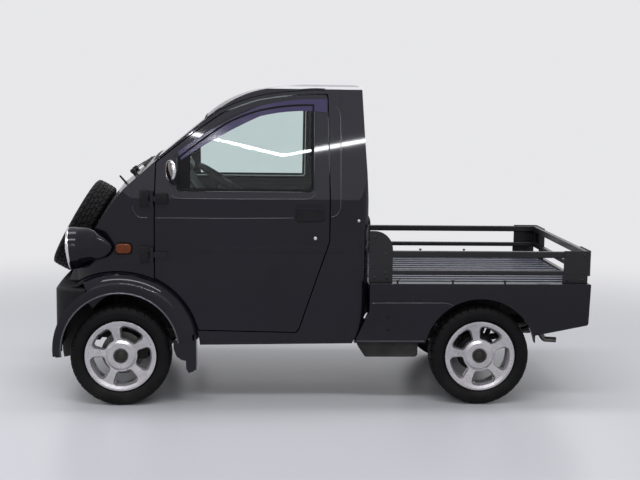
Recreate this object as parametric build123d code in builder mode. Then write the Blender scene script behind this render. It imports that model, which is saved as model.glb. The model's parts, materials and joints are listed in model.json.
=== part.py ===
"""Kei truck: a two-seat cab over a short nose, a low bed with guard rails, and a spare wheel on the nose.

Millimetres. X runs to the rear, Y to the truck's right, Z up. The origin is on the ground,
midway between the nose and the tail, on the centre line.
"""
from build123d import *
from math import cos, hypot, radians, sin
import os

# Driving dimensions
wheelbase = 1840
front_overhang = 426
rear_overhang = 567
tyre_radius = 256
ground_to_axle = tyre_radius
front_axle_x = front_overhang - (front_overhang + wheelbase + rear_overhang) / 2
rear_axle_x = front_axle_x + wheelbase
running_gap = 0.3          # between a piece and what it seats on
shut_gap = 6               # round a door
far = 1200                 # reach of a cutting tool past the truck's side

# Cab form
cab_half_width = 600
waist_z = 1060
roof_edge_half_width = 500
roof_edge_z = 1612
roof_crown_z = 1638
roof_edge_round = 60
cab_wall = 45
pillar_width = 62
sill_z = 312
nose_front = 309
nose_plan_radius = 4500
plan_sweep = 12            # degrees each way, past the sides
wheel_house_radius = 400
wheel_house_z = 290
wheel_house_y = 338
floor_z = 400
seat_box_z = 600
seat_box_front = 640
sill_width = 80
underbody_half_width = cab_half_width - sill_width


def ahead(x):
    """A station measured rearward from the front axle."""
    return front_axle_x + x


cab_rear_x = ahead(1256)
tool_front = ahead(-600)
tool_rear = ahead(1400)
tool_top = 1800

pieces = {}


def finish(block, label):
    """Name a piece and keep it for the export."""
    block.part.label = label
    pieces[label] = block.part


# The cab's centre line, its foot line and its plan, each as (station behind the front axle, height or inset)
cab_profile = {
    "nose_foot": (ahead(9 - nose_front), 560),
    "nose_lip": (ahead(-nose_front), 590),
    "nose_mid": (ahead(-250), 735),
    "nose_brow": (ahead(-171), 880),
    "hood_mid": (ahead(-112), 985),
    "hood_top": (ahead(-20), 1108),
    "screen_foot": (ahead(140), 1248),
    "screen_head": (ahead(431), 1487),
    "header_mid": (ahead(545), 1563),
    "roof_front": (ahead(690), 1611),
    "roof_mid": (ahead(950), roof_crown_z),
    "roof_rear": (tool_rear, roof_crown_z - 10),
}
cab_bottom = {
    "nose_foot": (ahead(-250), 540),
    "toe": (ahead(-150), 420),
    "sill_front": (ahead(-60), sill_z),
    "sill_rear": (ahead(390), sill_z),
    "rear_foot": (ahead(1177), sill_z + 9),
    "rear_bend": (ahead(1252), 491),
    "rear_waist": (cab_rear_x, 634),
    "rear_belt": (ahead(1253), waist_z),
    "rear_mid": (ahead(1230), 1387),
    "rear_top": (ahead(1205), tool_top),
}
cab_plan = {
    "side_end": (ahead(60), 0),
    "corner_mid": (ahead(-110), 52),
    "corner_end": (ahead(-235), 160),
    "cheek_mid": (ahead(-285), 215),
    "cheek_end": (ahead(-330), 280),
}


def cab_form(inset):
    """The closed form of the cab at one depth below its outer skin."""
    with BuildPart() as form:
        with BuildSketch(Plane.XZ) as profile:
            p = cab_profile
            with BuildLine():
                Line(p["nose_foot"], p["nose_lip"])
                ThreePointArc(p["nose_lip"], p["nose_mid"], p["nose_brow"])
                ThreePointArc(p["nose_brow"], p["hood_mid"], p["hood_top"])
                Line(p["hood_top"], p["screen_foot"])
                Line(p["screen_foot"], p["screen_head"])
                ThreePointArc(p["screen_head"], p["header_mid"], p["roof_front"])
                ThreePointArc(p["roof_front"], p["roof_mid"], p["roof_rear"])
                Polyline(p["roof_rear"], (tool_rear, sill_z / 2), (p["nose_foot"][0], sill_z / 2),
                         p["nose_foot"])
            make_face()
            if inset:
                offset(amount=-inset, kind=Kind.INTERSECTION)
        centre = Axis((ahead(nose_plan_radius - nose_front), 0, 0), (0, 0, 1))
        revolve(profile.sketch, axis=centre, revolution_arc=plan_sweep)
        revolve(profile.sketch, axis=centre.reverse(), revolution_arc=plan_sweep)
        with BuildSketch(Plane.YZ.offset(tool_front)) as section:
            with BuildLine():
                ThreePointArc((-roof_edge_half_width, roof_edge_z), (0, roof_crown_z),
                              (roof_edge_half_width, roof_edge_z))
                Polyline((roof_edge_half_width, roof_edge_z), (cab_half_width, waist_z),
                         (cab_half_width, sill_z / 2), (-cab_half_width, sill_z / 2),
                         (-cab_half_width, waist_z),
                         (-roof_edge_half_width, roof_edge_z))
            make_face()
            roof_edges = section.vertices().filter_by(lambda v: v.Z > waist_z + 1)
            fillet(roof_edges, roof_edge_round)
            if inset:
                offset(amount=-inset, kind=Kind.INTERSECTION)
        extrude(amount=tool_rear - tool_front, mode=Mode.INTERSECT)
        with BuildSketch(Plane.XY) as plan:
            stations = {name: (x, cab_half_width - drawn_in) for name, (x, drawn_in) in cab_plan.items()}
            nose_x = stations["cheek_end"][0]
            with BuildLine():
                Polyline((cab_rear_x, 0), (cab_rear_x, cab_half_width), stations["side_end"])
                ThreePointArc(stations["side_end"], stations["corner_mid"], stations["corner_end"])
                ThreePointArc(stations["corner_end"], stations["cheek_mid"], stations["cheek_end"])
                Line(stations["cheek_end"], (nose_x, 0))
                mirror(about=Plane.XZ)
            make_face()
            rear_corners = plan.vertices().sort_by(Axis.X)[-2:]
            fillet(rear_corners, roof_edge_round)
            if inset:
                offset(amount=-inset, kind=Kind.INTERSECTION)
        extrude(amount=tool_top, mode=Mode.INTERSECT)
        with BuildSketch(Plane.XZ.offset(-far)):
            b = cab_bottom
            with BuildLine():
                Polyline((tool_front, b["nose_foot"][1]), *b.values(), (tool_front, tool_top), close=True)
            make_face()
            if inset:
                offset(amount=-inset, kind=Kind.INTERSECTION)
        extrude(amount=2 * far, mode=Mode.INTERSECT)
        with BuildSketch(Plane.XZ.offset(-underbody_half_width - inset)):
            step_front = ahead(seat_box_front) - inset
            Polygon((tool_front, 0), (tool_front, floor_z + inset), (step_front, floor_z + inset),
                    (step_front, seat_box_z + inset), (tool_rear, seat_box_z + inset), (tool_rear, 0),
                    align=None)
        extrude(amount=2 * (underbody_half_width + inset), mode=Mode.SUBTRACT)
        for side in (-1, 1):
            with BuildSketch(Plane.XZ.offset(-side * (wheel_house_y - inset))):
                with Locations((front_axle_x, wheel_house_z)):
                    Circle(wheel_house_radius + inset)
            extrude(amount=-side * far, mode=Mode.SUBTRACT)
    return form.part


outer_form = cab_form(0)
with BuildPart() as shell:
    add(outer_form)
    add(cab_form(cab_wall), mode=Mode.SUBTRACT)

side_lean = (cab_half_width - roof_edge_half_width) / (roof_edge_z - waist_z)


def side_core(depth):
    """All that lies further in than one depth below the cab's flat sides."""
    with BuildPart() as inside:
        with BuildSketch(Plane.YZ.offset(tool_front)):
            at_waist = cab_half_width - depth
            at_top = at_waist - side_lean * (tool_top - waist_z)
            Polygon((-at_waist, 0), (at_waist, 0), (at_waist, waist_z), (at_top, tool_top),
                    (-at_top, tool_top), (-at_waist, waist_z), align=None)
        extrude(amount=tool_rear - tool_front)
    return inside.part


core = side_core(pillar_width)

# The windscreen aperture is cut square to the glass, between its foot and its head
screen_margin = 14
screen_reach = 140
foot = Vector(*cab_profile["screen_foot"])
head = Vector(*cab_profile["screen_head"])
along = (head - foot).normalized()
square = Vector(-along.Y, along.X)
screen_low = foot + along * screen_margin
screen_high = head - along * screen_margin


def flat_points(*corners):
    """Corners as plain pairs, for a polygon."""
    return [(corner.X, corner.Y) for corner in corners]


# Panels between the cab's sides, each cut from the shell by its side view
low_line = flat_points(screen_low + square * screen_reach, screen_low - square * screen_reach)
high_line = flat_points(screen_high + square * screen_reach, screen_high - square * screen_reach)
screen_cut = low_line + high_line[::-1]
floor_front = ahead(-60)
floor_top = wheel_house_z + wheel_house_radius + cab_wall + 5
rear_wall_front = ahead(1195)
roof_foot_z = 1560
cowl_rear = ahead(300)
roof_inner_z = 1400
wall_step_z = 680
panel_cuts = {
    "roof_panel": high_line + [(ahead(700), roof_inner_z), (rear_wall_front, roof_foot_z),
                               (tool_rear, roof_foot_z), (tool_rear, tool_top), (cowl_rear, tool_top)],
    "nose_panel": low_line + [(cowl_rear, waist_z - 60), (cowl_rear, floor_top), (floor_front, floor_top),
                              (floor_front, 0), (tool_front, 0), (tool_front, tool_top)],
    "cab_floor": [(floor_front, 0), (floor_front, floor_top), (ahead(500), floor_top),
                  (ahead(600), wall_step_z), (rear_wall_front, wall_step_z), (rear_wall_front, 0)],
    "cab_rear_wall": [(rear_wall_front, 0), (rear_wall_front, roof_foot_z), (tool_rear, roof_foot_z),
                      (tool_rear, 0)],
}
rear_window_low = 1140
rear_window_high = 1470
rear_window_half = 400
rear_window_round = 60
pod_y = cab_half_width - 120
pod_front = (-258, 790)
pod_tail = (-63, 808)
pod_radius = 108
lens_radius = 97
lens_seat = 12
lens_bulge = 20
lens_length = 44
pod_dir = Vector(pod_tail[0] - pod_front[0], 0, pod_tail[1] - pod_front[1]).normalized()
pod_length = hypot(pod_tail[0] - pod_front[0], pod_tail[1] - pod_front[1])


def on_pod(side, distance):
    """A point on one pod's axis, some way behind its front rim."""
    return Vector(ahead(pod_front[0]), side * pod_y, pod_front[1]) + pod_dir * distance


for label, corners in panel_cuts.items():
    with BuildPart() as panel:
        add(shell.part)
        add(core, mode=Mode.INTERSECT)
        with BuildSketch(Plane.XZ.offset(-far)):
            Polygon(*corners, align=None)
        extrude(amount=2 * far, mode=Mode.INTERSECT)
        if label == "cab_rear_wall":
            with BuildSketch(Plane.YZ.offset(rear_wall_front)):
                with Locations((0, (rear_window_low + rear_window_high) / 2)):
                    RectangleRounded(2 * rear_window_half, rear_window_high - rear_window_low,
                                     rear_window_round)
            extrude(amount=2 * cab_wall, mode=Mode.SUBTRACT)
        if label == "nose_panel":
            for side in (-1, 1):
                with BuildSketch(Plane(origin=on_pod(side, lens_seat), z_dir=-pod_dir)):
                    Circle(lens_radius)
                extrude(amount=80, mode=Mode.SUBTRACT)
    finish(panel, label)

# Glass is a thin skin of the same form, a little below the paint
glass_depth = 5
glass_thickness = 5
with BuildPart() as glass_skin:
    add(cab_form(glass_depth))
    add(cab_form(glass_depth + glass_thickness), mode=Mode.SUBTRACT)
with BuildPart() as windscreen:
    add(glass_skin.part)
    add(core, mode=Mode.INTERSECT)
    with BuildSketch(Plane.XZ.offset(-far)):
        Polygon(*screen_cut, align=None)
        offset(amount=-running_gap, kind=Kind.INTERSECTION)
    extrude(amount=2 * far, mode=Mode.INTERSECT)
finish(windscreen, "windscreen")
with BuildPart() as rear_window:
    add(glass_skin.part)
    with BuildSketch(Plane.YZ.offset(rear_wall_front)):
        with Locations((0, (rear_window_low + rear_window_high) / 2)):
            RectangleRounded(2 * (rear_window_half - running_gap),
                             rear_window_high - rear_window_low - 2 * running_gap, rear_window_round)
    extrude(amount=2 * cab_wall, mode=Mode.INTERSECT)
finish(rear_window, "rear_window")

# Doors: one outline, tapered inward so that the shut faces part as the door swings
door_taper = 9
door_plane_y = cab_half_width + 6
door_depth = 180
door_front = 174
door_foot_z = 391
door_arc = wheel_house_radius + shut_gap
door_rear = [(887, 380), (902, 398), (1053, 847), (1056, 1590)]
door_top = [(1046, 1600), (870, 1594), (687, 1567), (598, 1537), (498, 1493), (343, 1379), (door_front, 1240)]


def door_outline(grow):
    """The door's edge seen from the side, or with grow the edge of its opening."""
    start_z = wheel_house_z + (door_arc ** 2 - door_front ** 2) ** 0.5
    foot_x = (door_arc ** 2 - (door_foot_z - wheel_house_z) ** 2) ** 0.5
    turn = radians(45)
    mid = (ahead(door_arc * cos(turn)), wheel_house_z + door_arc * sin(turn))
    top = [(ahead(x), z) for x, z in door_top]
    with BuildSketch() as outline:
        with BuildLine():
            Polyline((ahead(foot_x), door_foot_z), *[(ahead(x), z) for x, z in door_rear], top[0])
            ThreePointArc(*top[0:3])
            ThreePointArc(*top[2:5])
            ThreePointArc(*top[4:7])
            Line(top[6], (ahead(door_front), start_z))
            ThreePointArc((ahead(door_front), start_z), mid, (ahead(foot_x), door_foot_z))
        make_face()
        if grow:
            offset(amount=grow, kind=Kind.INTERSECTION)
    return outline.sketch


# Window and visor outlines are chains of arcs over the top and straight sides below
window_low = 1096
window_front = 283
window_rear = 974
window_round = 16
window_top = [(window_rear, 1536), (830, 1530), (690, 1505), (600, 1474), (520, 1436), (400, 1352),
              (window_front, 1262)]
visor_top = [(1036, 1562), (870, 1556), (698, 1524), (500, 1430), (289, 1291)]
visor_low = [(304, 1251), (500, 1373), (698, 1473), (870, 1500), (1036, 1496)]


def window_outline(grow):
    """The door window's edge, or with grow the edge of the frame round it."""
    top = [(ahead(x), z) for x, z in window_top]
    with BuildSketch() as outline:
        with BuildLine():
            Polyline(top[6], (ahead(window_front), window_low), (ahead(window_rear), window_low), top[0])
            ThreePointArc(*top[0:3])
            ThreePointArc(*top[2:5])
            ThreePointArc(*top[4:7])
        make_face()
        low_corners = outline.vertices().sort_by(Axis.Y)[:2]
        fillet(low_corners, window_round)
        if grow:
            offset(amount=grow)
    return outline.sketch


def visor_outline():
    """The wind visor's edge over the door window."""
    top = [(ahead(x), z) for x, z in visor_top]
    low = [(ahead(x), z) for x, z in visor_low]
    with BuildSketch() as outline:
        with BuildLine():
            ThreePointArc(*top[0:3])
            ThreePointArc(*top[2:5])
            Line(top[4], low[0])
            ThreePointArc(*low[0:3])
            ThreePointArc(*low[2:5])
            Line(low[4], top[0])
        make_face()
    return outline.sketch


def side_prism(side, outline, reach_in):
    """An outline seen from the side, run inward from beyond one flank."""
    with BuildPart() as prism:
        with BuildSketch(Plane.XZ.offset(-side * far)):
            add(outline)
        extrude(amount=side * (far - reach_in))
    return prism.part


# The flanks' relief: a panel pressed in above the belt, a deeper one round the window, a raised moulding
belt_depth = 4
belt_z = 969
belt_front = 58
belt_rear = 1107
belt_round = 40
surround_depth = 4
surround_margin = 14
surround_drop = 20
moulding_height = 27
moulding_z = 806
moulding_front = 350
moulding_rear = 1232
moulding_rise = 4
sill_step_z = 338
sill_step_depth = 6
flank_inner_y = cab_half_width - 150
with BuildSketch() as belt_outline:
    with Locations((ahead((belt_front + belt_rear) / 2), (belt_z + tool_top) / 2)):
        RectangleRounded(belt_rear - belt_front, tool_top - belt_z, belt_round)
with BuildSketch() as surround_outline:
    add(window_outline(surround_margin))
    with Locations((0, -surround_drop)):
        add(window_outline(surround_margin))
with BuildSketch() as moulding_outline:
    with Locations((ahead((moulding_front + moulding_rear) / 2), moulding_z)):
        RectangleRounded(moulding_rear - moulding_front, moulding_height, moulding_height / 3)
with BuildSketch() as sill_outline:
    with Locations((ahead(-wheel_house_radius), 0)):
        Rectangle(2 * wheelbase, sill_step_z, align=Align.MIN)

# Door handle: a pocket with a flap, and a key lock below
handle_x = ahead(953)
handle_z = 990
handle_length = 152
handle_height = 92
handle_round = 22
handle_depth = 18
flap_length = 134
flap_height = 46
flap_drop = 12
flap_round = 10
lock_x = ahead(982)
lock_z = 864
lock_radius = 10
lock_stand = 3

# Hinges: two leaves and a pin on the cab, one arm between them on the door
hinge_x = ahead(160)
hinge_y = cab_half_width + 14
hinges_z = [1060, 778]
hinge_height = 76
hinge_barrel = 10
hinge_pin = 4
hinge_root_y = cab_half_width - belt_depth - 2
hinge_leaf = 22
hinge_body_reach = 52
hinge_door_reach = 78
hinge_step = 24
spindle_fit = 0.05

# Mirrors: a round head on a short stalk
mirror_x = ahead(257)
mirror_z = 1203
mirror_y = cab_half_width + 64
mirror_radius = 54
mirror_depth = 40
mirror_round = 14
stalk_length = 26
stalk_height = 30
stalk_round = 6
stalk_drop = 20
visor_thickness = 3

for name, side in (("left", -1), ("right", 1)):
    face = Plane.XZ.offset(-side * door_plane_y)
    with BuildPart() as door_prism:
        with BuildSketch(face):
            add(door_outline(0))
        extrude(amount=side * door_depth, taper=door_taper)
        add(side_core(cab_wall), mode=Mode.SUBTRACT)
    with BuildPart() as opening_prism:
        with BuildSketch(face):
            add(door_outline(shut_gap))
        extrude(amount=side * door_depth, taper=door_taper)
        add(side_core(cab_wall + shut_gap), mode=Mode.SUBTRACT)
    window_prism = side_prism(side, window_outline(0), flank_inner_y - 100)
    with BuildPart() as belt_tool:
        add(side_prism(side, belt_outline.sketch, flank_inner_y))
        add(side_core(belt_depth), mode=Mode.SUBTRACT)
    with BuildPart() as surround_tool:
        add(side_prism(side, surround_outline.sketch, flank_inner_y))
        add(side_core(belt_depth + surround_depth), mode=Mode.SUBTRACT)
    with BuildPart() as moulding:
        with BuildSketch(Plane.XZ.offset(-side * (cab_half_width - 1))):
            add(moulding_outline.sketch)
        extrude(amount=-side * (moulding_rise + 1))

    with BuildPart() as cab_side:
        add(shell.part)
        add(core, mode=Mode.SUBTRACT)
        split(bisect_by=Plane.XZ, keep=Keep.TOP if side < 0 else Keep.BOTTOM)
        add(moulding.part)
        add(belt_tool.part, mode=Mode.SUBTRACT)
        add(side_prism(side, sill_outline.sketch, cab_half_width - sill_step_depth), mode=Mode.SUBTRACT)
        add(opening_prism.part, mode=Mode.SUBTRACT)
        for middle_z in hinges_z:
            for low_z in (middle_z - hinge_height / 2, middle_z + hinge_height / 2 - hinge_step):
                with BuildSketch(Plane.XY.offset(low_z)):
                    with Locations((hinge_x, side * hinge_y)):
                        Circle(hinge_barrel)
                    with Locations((hinge_x, side * hinge_root_y)):
                        Rectangle(hinge_body_reach, hinge_leaf,
                                  align=(Align.MAX, Align.MIN if side > 0 else Align.MAX))
                extrude(amount=hinge_step)
            with Locations((hinge_x, side * hinge_y, middle_z)):
                Cylinder(hinge_pin, hinge_height)
    finish(cab_side, f"cab_side_{name}")

    handle_floor_y = cab_half_width - handle_depth
    with BuildPart() as door:
        add(shell.part)
        add(moulding.part)
        add(door_prism.part, mode=Mode.INTERSECT)
        add(belt_tool.part, mode=Mode.SUBTRACT)
        add(surround_tool.part, mode=Mode.SUBTRACT)
        add(window_prism, mode=Mode.SUBTRACT)
        with BuildSketch(Plane.XZ.offset(-side * handle_floor_y)):
            with Locations((handle_x, handle_z)):
                RectangleRounded(handle_length, handle_height, handle_round)
        extrude(amount=-side * 2 * handle_depth, mode=Mode.SUBTRACT)
        for middle_z in hinges_z:
            arm_height = hinge_height - 2 * hinge_step - 2 * running_gap
            root_x = ahead(door_front + 4)
            with BuildSketch(Plane.XY.offset(middle_z - arm_height / 2)):
                with Locations((hinge_x, side * hinge_y)):
                    Circle(hinge_barrel)
                with Locations((hinge_x, side * (cab_half_width + 5))):
                    Rectangle(hinge_door_reach, hinge_leaf - 10,
                              align=(Align.MIN, Align.MIN if side > 0 else Align.MAX))
                with Locations((root_x, side * hinge_root_y)):
                    Rectangle(hinge_x + hinge_door_reach - root_x, hinge_leaf,
                              align=(Align.MIN, Align.MIN if side > 0 else Align.MAX))
                with Locations((hinge_x, side * hinge_y)):
                    Circle(hinge_pin + spindle_fit, mode=Mode.SUBTRACT)
            extrude(amount=arm_height)
    finish(door, f"door_{name}")

    with BuildPart() as handle:
        with BuildSketch(Plane.XZ.offset(-side * (handle_floor_y + running_gap))):
            with Locations((handle_x, handle_z - flap_drop)):
                RectangleRounded(flap_length, flap_height, flap_round)
        extrude(amount=-side * (handle_depth + running_gap))
        with BuildSketch(Plane.XZ.offset(-side * (cab_half_width + running_gap))):
            with Locations((lock_x, lock_z)):
                Circle(lock_radius)
        extrude(amount=-side * lock_stand)
    finish(handle, f"door_handle_{name}")

    with BuildPart() as door_glass:
        add(glass_skin.part)
        add(window_prism, mode=Mode.INTERSECT)
    finish(door_glass, f"door_glass_{name}")

    with BuildPart() as visor:
        add(side_prism(side, visor_outline(), flank_inner_y))
        add(side_core(belt_depth - running_gap), mode=Mode.SUBTRACT)
        add(side_core(belt_depth - running_gap - visor_thickness), mode=Mode.INTERSECT)
    finish(visor, f"door_visor_{name}")

    with BuildPart() as mirror_head:
        with BuildSketch(Plane.YZ.offset(mirror_x - mirror_depth / 2)):
            with Locations((side * mirror_y, mirror_z)):
                Circle(mirror_radius)
        extrude(amount=mirror_depth)
        fillet(mirror_head.edges().filter_by(GeomType.CIRCLE).sort_by(Axis.X)[0], mirror_round)
        with BuildSketch(Plane.XZ.offset(-side * (cab_half_width - pillar_width))):
            with Locations((mirror_x, mirror_z - stalk_drop)):
                RectangleRounded(stalk_length, stalk_height, stalk_round)
        extrude(amount=-side * (mirror_y - cab_half_width + mirror_radius / 2))
        add(side_core(belt_depth - running_gap), mode=Mode.SUBTRACT)
    finish(mirror_head, f"mirror_{name}")


def radial_plane(centre_x, centre_z, angle):
    """A plane through a line along Y, drawn in (y, radius), at an angle from +X towards +Z."""
    turn = radians(angle)
    return Plane(origin=(centre_x, 0, centre_z), x_dir=(0, 1, 0), z_dir=(sin(turn), 0, -cos(turn)))


# Front fenders: a flared arch and liner over each front wheel, with a mud flap at its rear foot
arch_lip_radius = 293
arch_lip_height = 29
arch_lip_top = arch_lip_radius + arch_lip_height
fender_gap = 4
fender_radius = wheel_house_radius - fender_gap
fender_flare = 47
fender_y = cab_half_width + fender_flare
fender_skin = 12
fender_rear_angle = 8
fender_front_angle = 118
liner_front_angle = 132
liner_y = wheel_house_y + 3
flap_outline = [(268, 345), (383, 345), (381, 205), (370, 184), (345, 177), (333, 200), (331, 240),
                (310, 244), (285, 262), (270, 300)]
flap_flange = 8
flap_rear = 383
flap_top_z = 372
flap_low_z = 190
flap_inner_y = 505
house_axis = Axis((front_axle_x, 0, wheel_house_z), (0, 1, 0))


def flare_arcs(y, lip_top, top_radius, bulge_in, bulge_up):
    """One side of the flare's section, from its lip to its root: start, middle and end."""
    root_in = fender_flare + 3
    return (y, lip_top), (y - bulge_in, lip_top + bulge_up), (y - root_in, top_radius)


with BuildPart() as fenders:
    outer_start, outer_mid, outer_end = flare_arcs(fender_y, arch_lip_top, fender_radius, 14, 44)
    inner_start, inner_mid, inner_end = flare_arcs(fender_y - fender_skin, arch_lip_top,
                                                   fender_radius - fender_skin, 13, 36)
    with BuildSketch(radial_plane(front_axle_x, wheel_house_z, fender_front_angle)):
        with BuildLine():
            Line((fender_y, arch_lip_radius), outer_start)
            ThreePointArc(outer_start, outer_mid, outer_end)
            Polyline(outer_end, (liner_y, fender_radius), (liner_y, fender_radius - fender_skin), inner_end)
            ThreePointArc(inner_end, inner_mid, inner_start)
            Polyline(inner_start, (fender_y - fender_skin, arch_lip_radius), (fender_y, arch_lip_radius))
        make_face()
    revolve(axis=house_axis, revolution_arc=fender_front_angle - fender_rear_angle)
    with BuildSketch(radial_plane(front_axle_x, wheel_house_z, liner_front_angle)):
        with Locations(((liner_y + outer_end[0]) / 2, fender_radius - fender_skin / 2)):
            Rectangle(outer_end[0] - liner_y, fender_skin)
    revolve(axis=house_axis, revolution_arc=liner_front_angle - fender_front_angle)
    with BuildSketch(Plane.XZ.offset(-(fender_y - fender_skin))):
        Polygon(*[(ahead(x), z) for x, z in flap_outline], align=None)
    extrude(amount=-flap_flange)
    with BuildSketch(Plane.XZ.offset(-flap_inner_y)):
        with Locations((ahead(flap_rear), flap_low_z)):
            Rectangle(flap_flange, flap_top_z - flap_low_z, align=(Align.MAX, Align.MIN))
    extrude(amount=-(fender_y - fender_skin + 1 - flap_inner_y))
    mirror(about=Plane.XZ)
finish(fenders, "front_fenders")

# Front bumper: a shell round the nose that carries the front of each wheel arch
bumper_front = 345
bumper_low = 282
bumper_high = 605
bumper_wall = 18
bumper_half_width = fender_y - 7
bumper_sweep = 24
bumper_corner = 105
bumper_round = 14
bumper_seam = 170
lip_turns = (fender_front_angle, 186)      # the lip's ends, in degrees up and over from the rear
tyre_sweep = 306
slot_length = 420
slot_height = 12
slots_z = [300, 322, 344]
with BuildSketch() as bumper_plan:
    edge_x = ahead(bumper_sweep - bumper_front)
    with BuildLine():
        ThreePointArc((edge_x, -bumper_half_width), (ahead(-bumper_front), 0), (edge_x, bumper_half_width))
        Polyline((edge_x, bumper_half_width), (front_axle_x, bumper_half_width),
                 (front_axle_x, -bumper_half_width), (edge_x, -bumper_half_width))
    make_face()
    fillet(bumper_plan.vertices().sort_by(Axis.X)[:2], bumper_corner)
with BuildPart() as bumper:
    with BuildSketch(Plane.XY.offset(bumper_low)):
        add(bumper_plan.sketch)
    extrude(amount=bumper_high - bumper_low)
    fillet(bumper.faces().sort_by(Axis.Z)[-1].edges().sort_by(Axis.X)[:-1], bumper_round)
    with BuildSketch(Plane.XY.offset(bumper_low)):
        add(bumper_plan.sketch)
        offset(amount=-bumper_wall)
    extrude(amount=bumper_high - bumper_low - bumper_wall, mode=Mode.SUBTRACT)
    with BuildSketch(Plane.XZ.offset(-far)):
        with Locations((ahead(-bumper_seam), 0)):
            Rectangle(far, tool_top, align=Align.MIN)
        with Locations((front_axle_x, wheel_house_z)):
            Circle(arch_lip_radius)
    extrude(amount=2 * far, mode=Mode.SUBTRACT)
    for side in (-1, 1):
        with BuildSketch(Plane.XZ.offset(-side * (fender_y - fender_skin))):
            with Locations((front_axle_x, wheel_house_z)):
                Circle(arch_lip_top)
                Circle(arch_lip_radius, mode=Mode.SUBTRACT)
                Polygon((0, 0), *[(far * cos(radians(turn)), far * sin(radians(turn))) for turn in lip_turns],
                        align=None, mode=Mode.INTERSECT)
        extrude(amount=-side * fender_skin)
    with BuildSketch(Plane.XZ.offset(-cab_half_width)):
        with Locations((front_axle_x, ground_to_axle)):
            Circle(tyre_sweep)
    extrude(amount=2 * cab_half_width, mode=Mode.SUBTRACT)
    with BuildSketch(Plane.YZ.offset(ahead(-bumper_front - bumper_wall))):
        for slot_z in slots_z:
            with Locations((0, slot_z)):
                SlotOverall(slot_length, slot_height)
    extrude(amount=3 * bumper_wall, mode=Mode.SUBTRACT)
    add(outer_form, mode=Mode.SUBTRACT)
    add(fenders.part, mode=Mode.SUBTRACT)
finish(bumper, "front_bumper")

# Headlamp pods: round housings that stand out of the nose corners, each with a bright bezel and a lens
bezel_width = 14
pod_bulge_at = 105
pod_bulge = 84
with BuildPart() as pods:
    for side in (-1, 1):
        pod_plane = Plane(origin=on_pod(side, 0), x_dir=pod_dir, z_dir=(0, -1, 0))
        with BuildSketch(pod_plane):
            with BuildLine():
                Polyline((pod_length, 0), (lens_seat, 0), (lens_seat, lens_radius), (0, lens_radius),
                         (0, pod_radius))
                ThreePointArc((0, pod_radius), (pod_bulge_at, pod_bulge), (pod_length, 0))
            make_face()
        revolve(axis=Axis(pod_plane.origin, pod_dir))
    add(outer_form, mode=Mode.SUBTRACT)
    add(fenders.part, mode=Mode.SUBTRACT)
finish(pods, "headlamp_pods")
with BuildPart() as bezels:
    for side in (-1, 1):
        bezel_plane = Plane(origin=on_pod(side, -running_gap), x_dir=pod_dir, z_dir=(0, -1, 0))
        with BuildSketch(bezel_plane):
            with BuildLine():
                Polyline((-bezel_width, lens_radius), (0, lens_radius), (0, pod_radius + 2))
                ThreePointArc((0, pod_radius + 2), (-bezel_width + 3, pod_radius - 2),
                              (-bezel_width, lens_radius))
            make_face()
        revolve(axis=Axis(bezel_plane.origin, pod_dir))
finish(bezels, "headlamp_bezels")
lens_edge = lens_radius - running_gap
dome_radius = (lens_edge ** 2 + lens_bulge ** 2) / (2 * lens_bulge)
lens_back = lens_seat - running_gap
with BuildPart() as lenses:
    for side in (-1, 1):
        with BuildSketch(Plane(origin=on_pod(side, lens_back), z_dir=-pod_dir)):
            Circle(lens_edge)
        extrude(amount=lens_length)
    with Locations(*[on_pod(side, lens_back - lens_length + dome_radius) for side in (-1, 1)]):
        Sphere(dome_radius, mode=Mode.INTERSECT)
finish(lenses, "headlamp_lenses")

# Side indicators on the panels between nose and door
indicator_x = 18
indicator_z = 806
indicator_length = 78
indicator_height = 50
indicator_stand = 12
indicator_reach = 40
with BuildPart() as indicators:
    for side in (-1, 1):
        with BuildSketch(Plane.XZ.offset(-side * (cab_half_width - indicator_reach))):
            with Locations((ahead(indicator_x), indicator_z)):
                RectangleRounded(indicator_length, indicator_height, 20)
        extrude(amount=-side * (indicator_reach + indicator_stand))
    fillet(indicators.faces().sort_by(Axis.Y)[0].edges(), 6)
    fillet(indicators.faces().sort_by(Axis.Y)[-1].edges(), 6)
    add(outer_form, mode=Mode.SUBTRACT)
finish(indicators, "side_indicators")

# Tyres and rims: 13-inch wheels
tyre_width = 150
bead_radius = 165
flange_radius = 180
rim_width = 128
rim_wall = 7
flange_wall = 6
flange_slant = 3
tread_shoulder = 20
tyre_wall = 15
side_wall = 12
bead_width = 12
hub_depth = 42
hub_radius = 52
hub_bore = 20
hub_length = 70
front_wheel_y = 546
rear_wheel_y = 536
barrel_inner = bead_radius - running_gap


def tyre_section(radius, width, seat_width):
    """A tyre's section, drawn as (y, radius), with its beads inside flanges a seat width apart."""
    half = width / 2
    seat = seat_width / 2
    bulge = (radius + bead_radius) / 2
    tread = radius - tread_shoulder
    inner_corner = half - side_wall - 20
    with BuildSketch() as section:
        with BuildLine():
            Polyline((0, radius), (0, radius - tyre_wall), (inner_corner, radius - tyre_wall))
            ThreePointArc((inner_corner, radius - tyre_wall), (half - side_wall, bulge),
                          (seat - bead_width, flange_radius))
            Polyline((seat - bead_width, flange_radius), (seat - bead_width, bead_radius),
                     (seat, bead_radius),
                     (seat, flange_radius + 2))
            ThreePointArc((seat, flange_radius + 2), (half, bulge), (half - 4, tread))
            ThreePointArc((half - 4, tread), (half - 9, radius - 8), (half - 22, radius - 2))
            ThreePointArc((half - 22, radius - 2), ((half - 22) / 2, radius - 0.5), (0, radius))
        make_face()
        mirror(about=Plane.YZ)
    return section.sketch


face_crown = 4             # rim face beyond the flange's edge
face_dish = 16             # how far the spokes fall in towards the hub
spoke_depth = 40
ring_radius = 66
ring_rise = 8
cap_radius = 36
cap_recess = 4
well_front = 10
well_rear = 20


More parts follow.
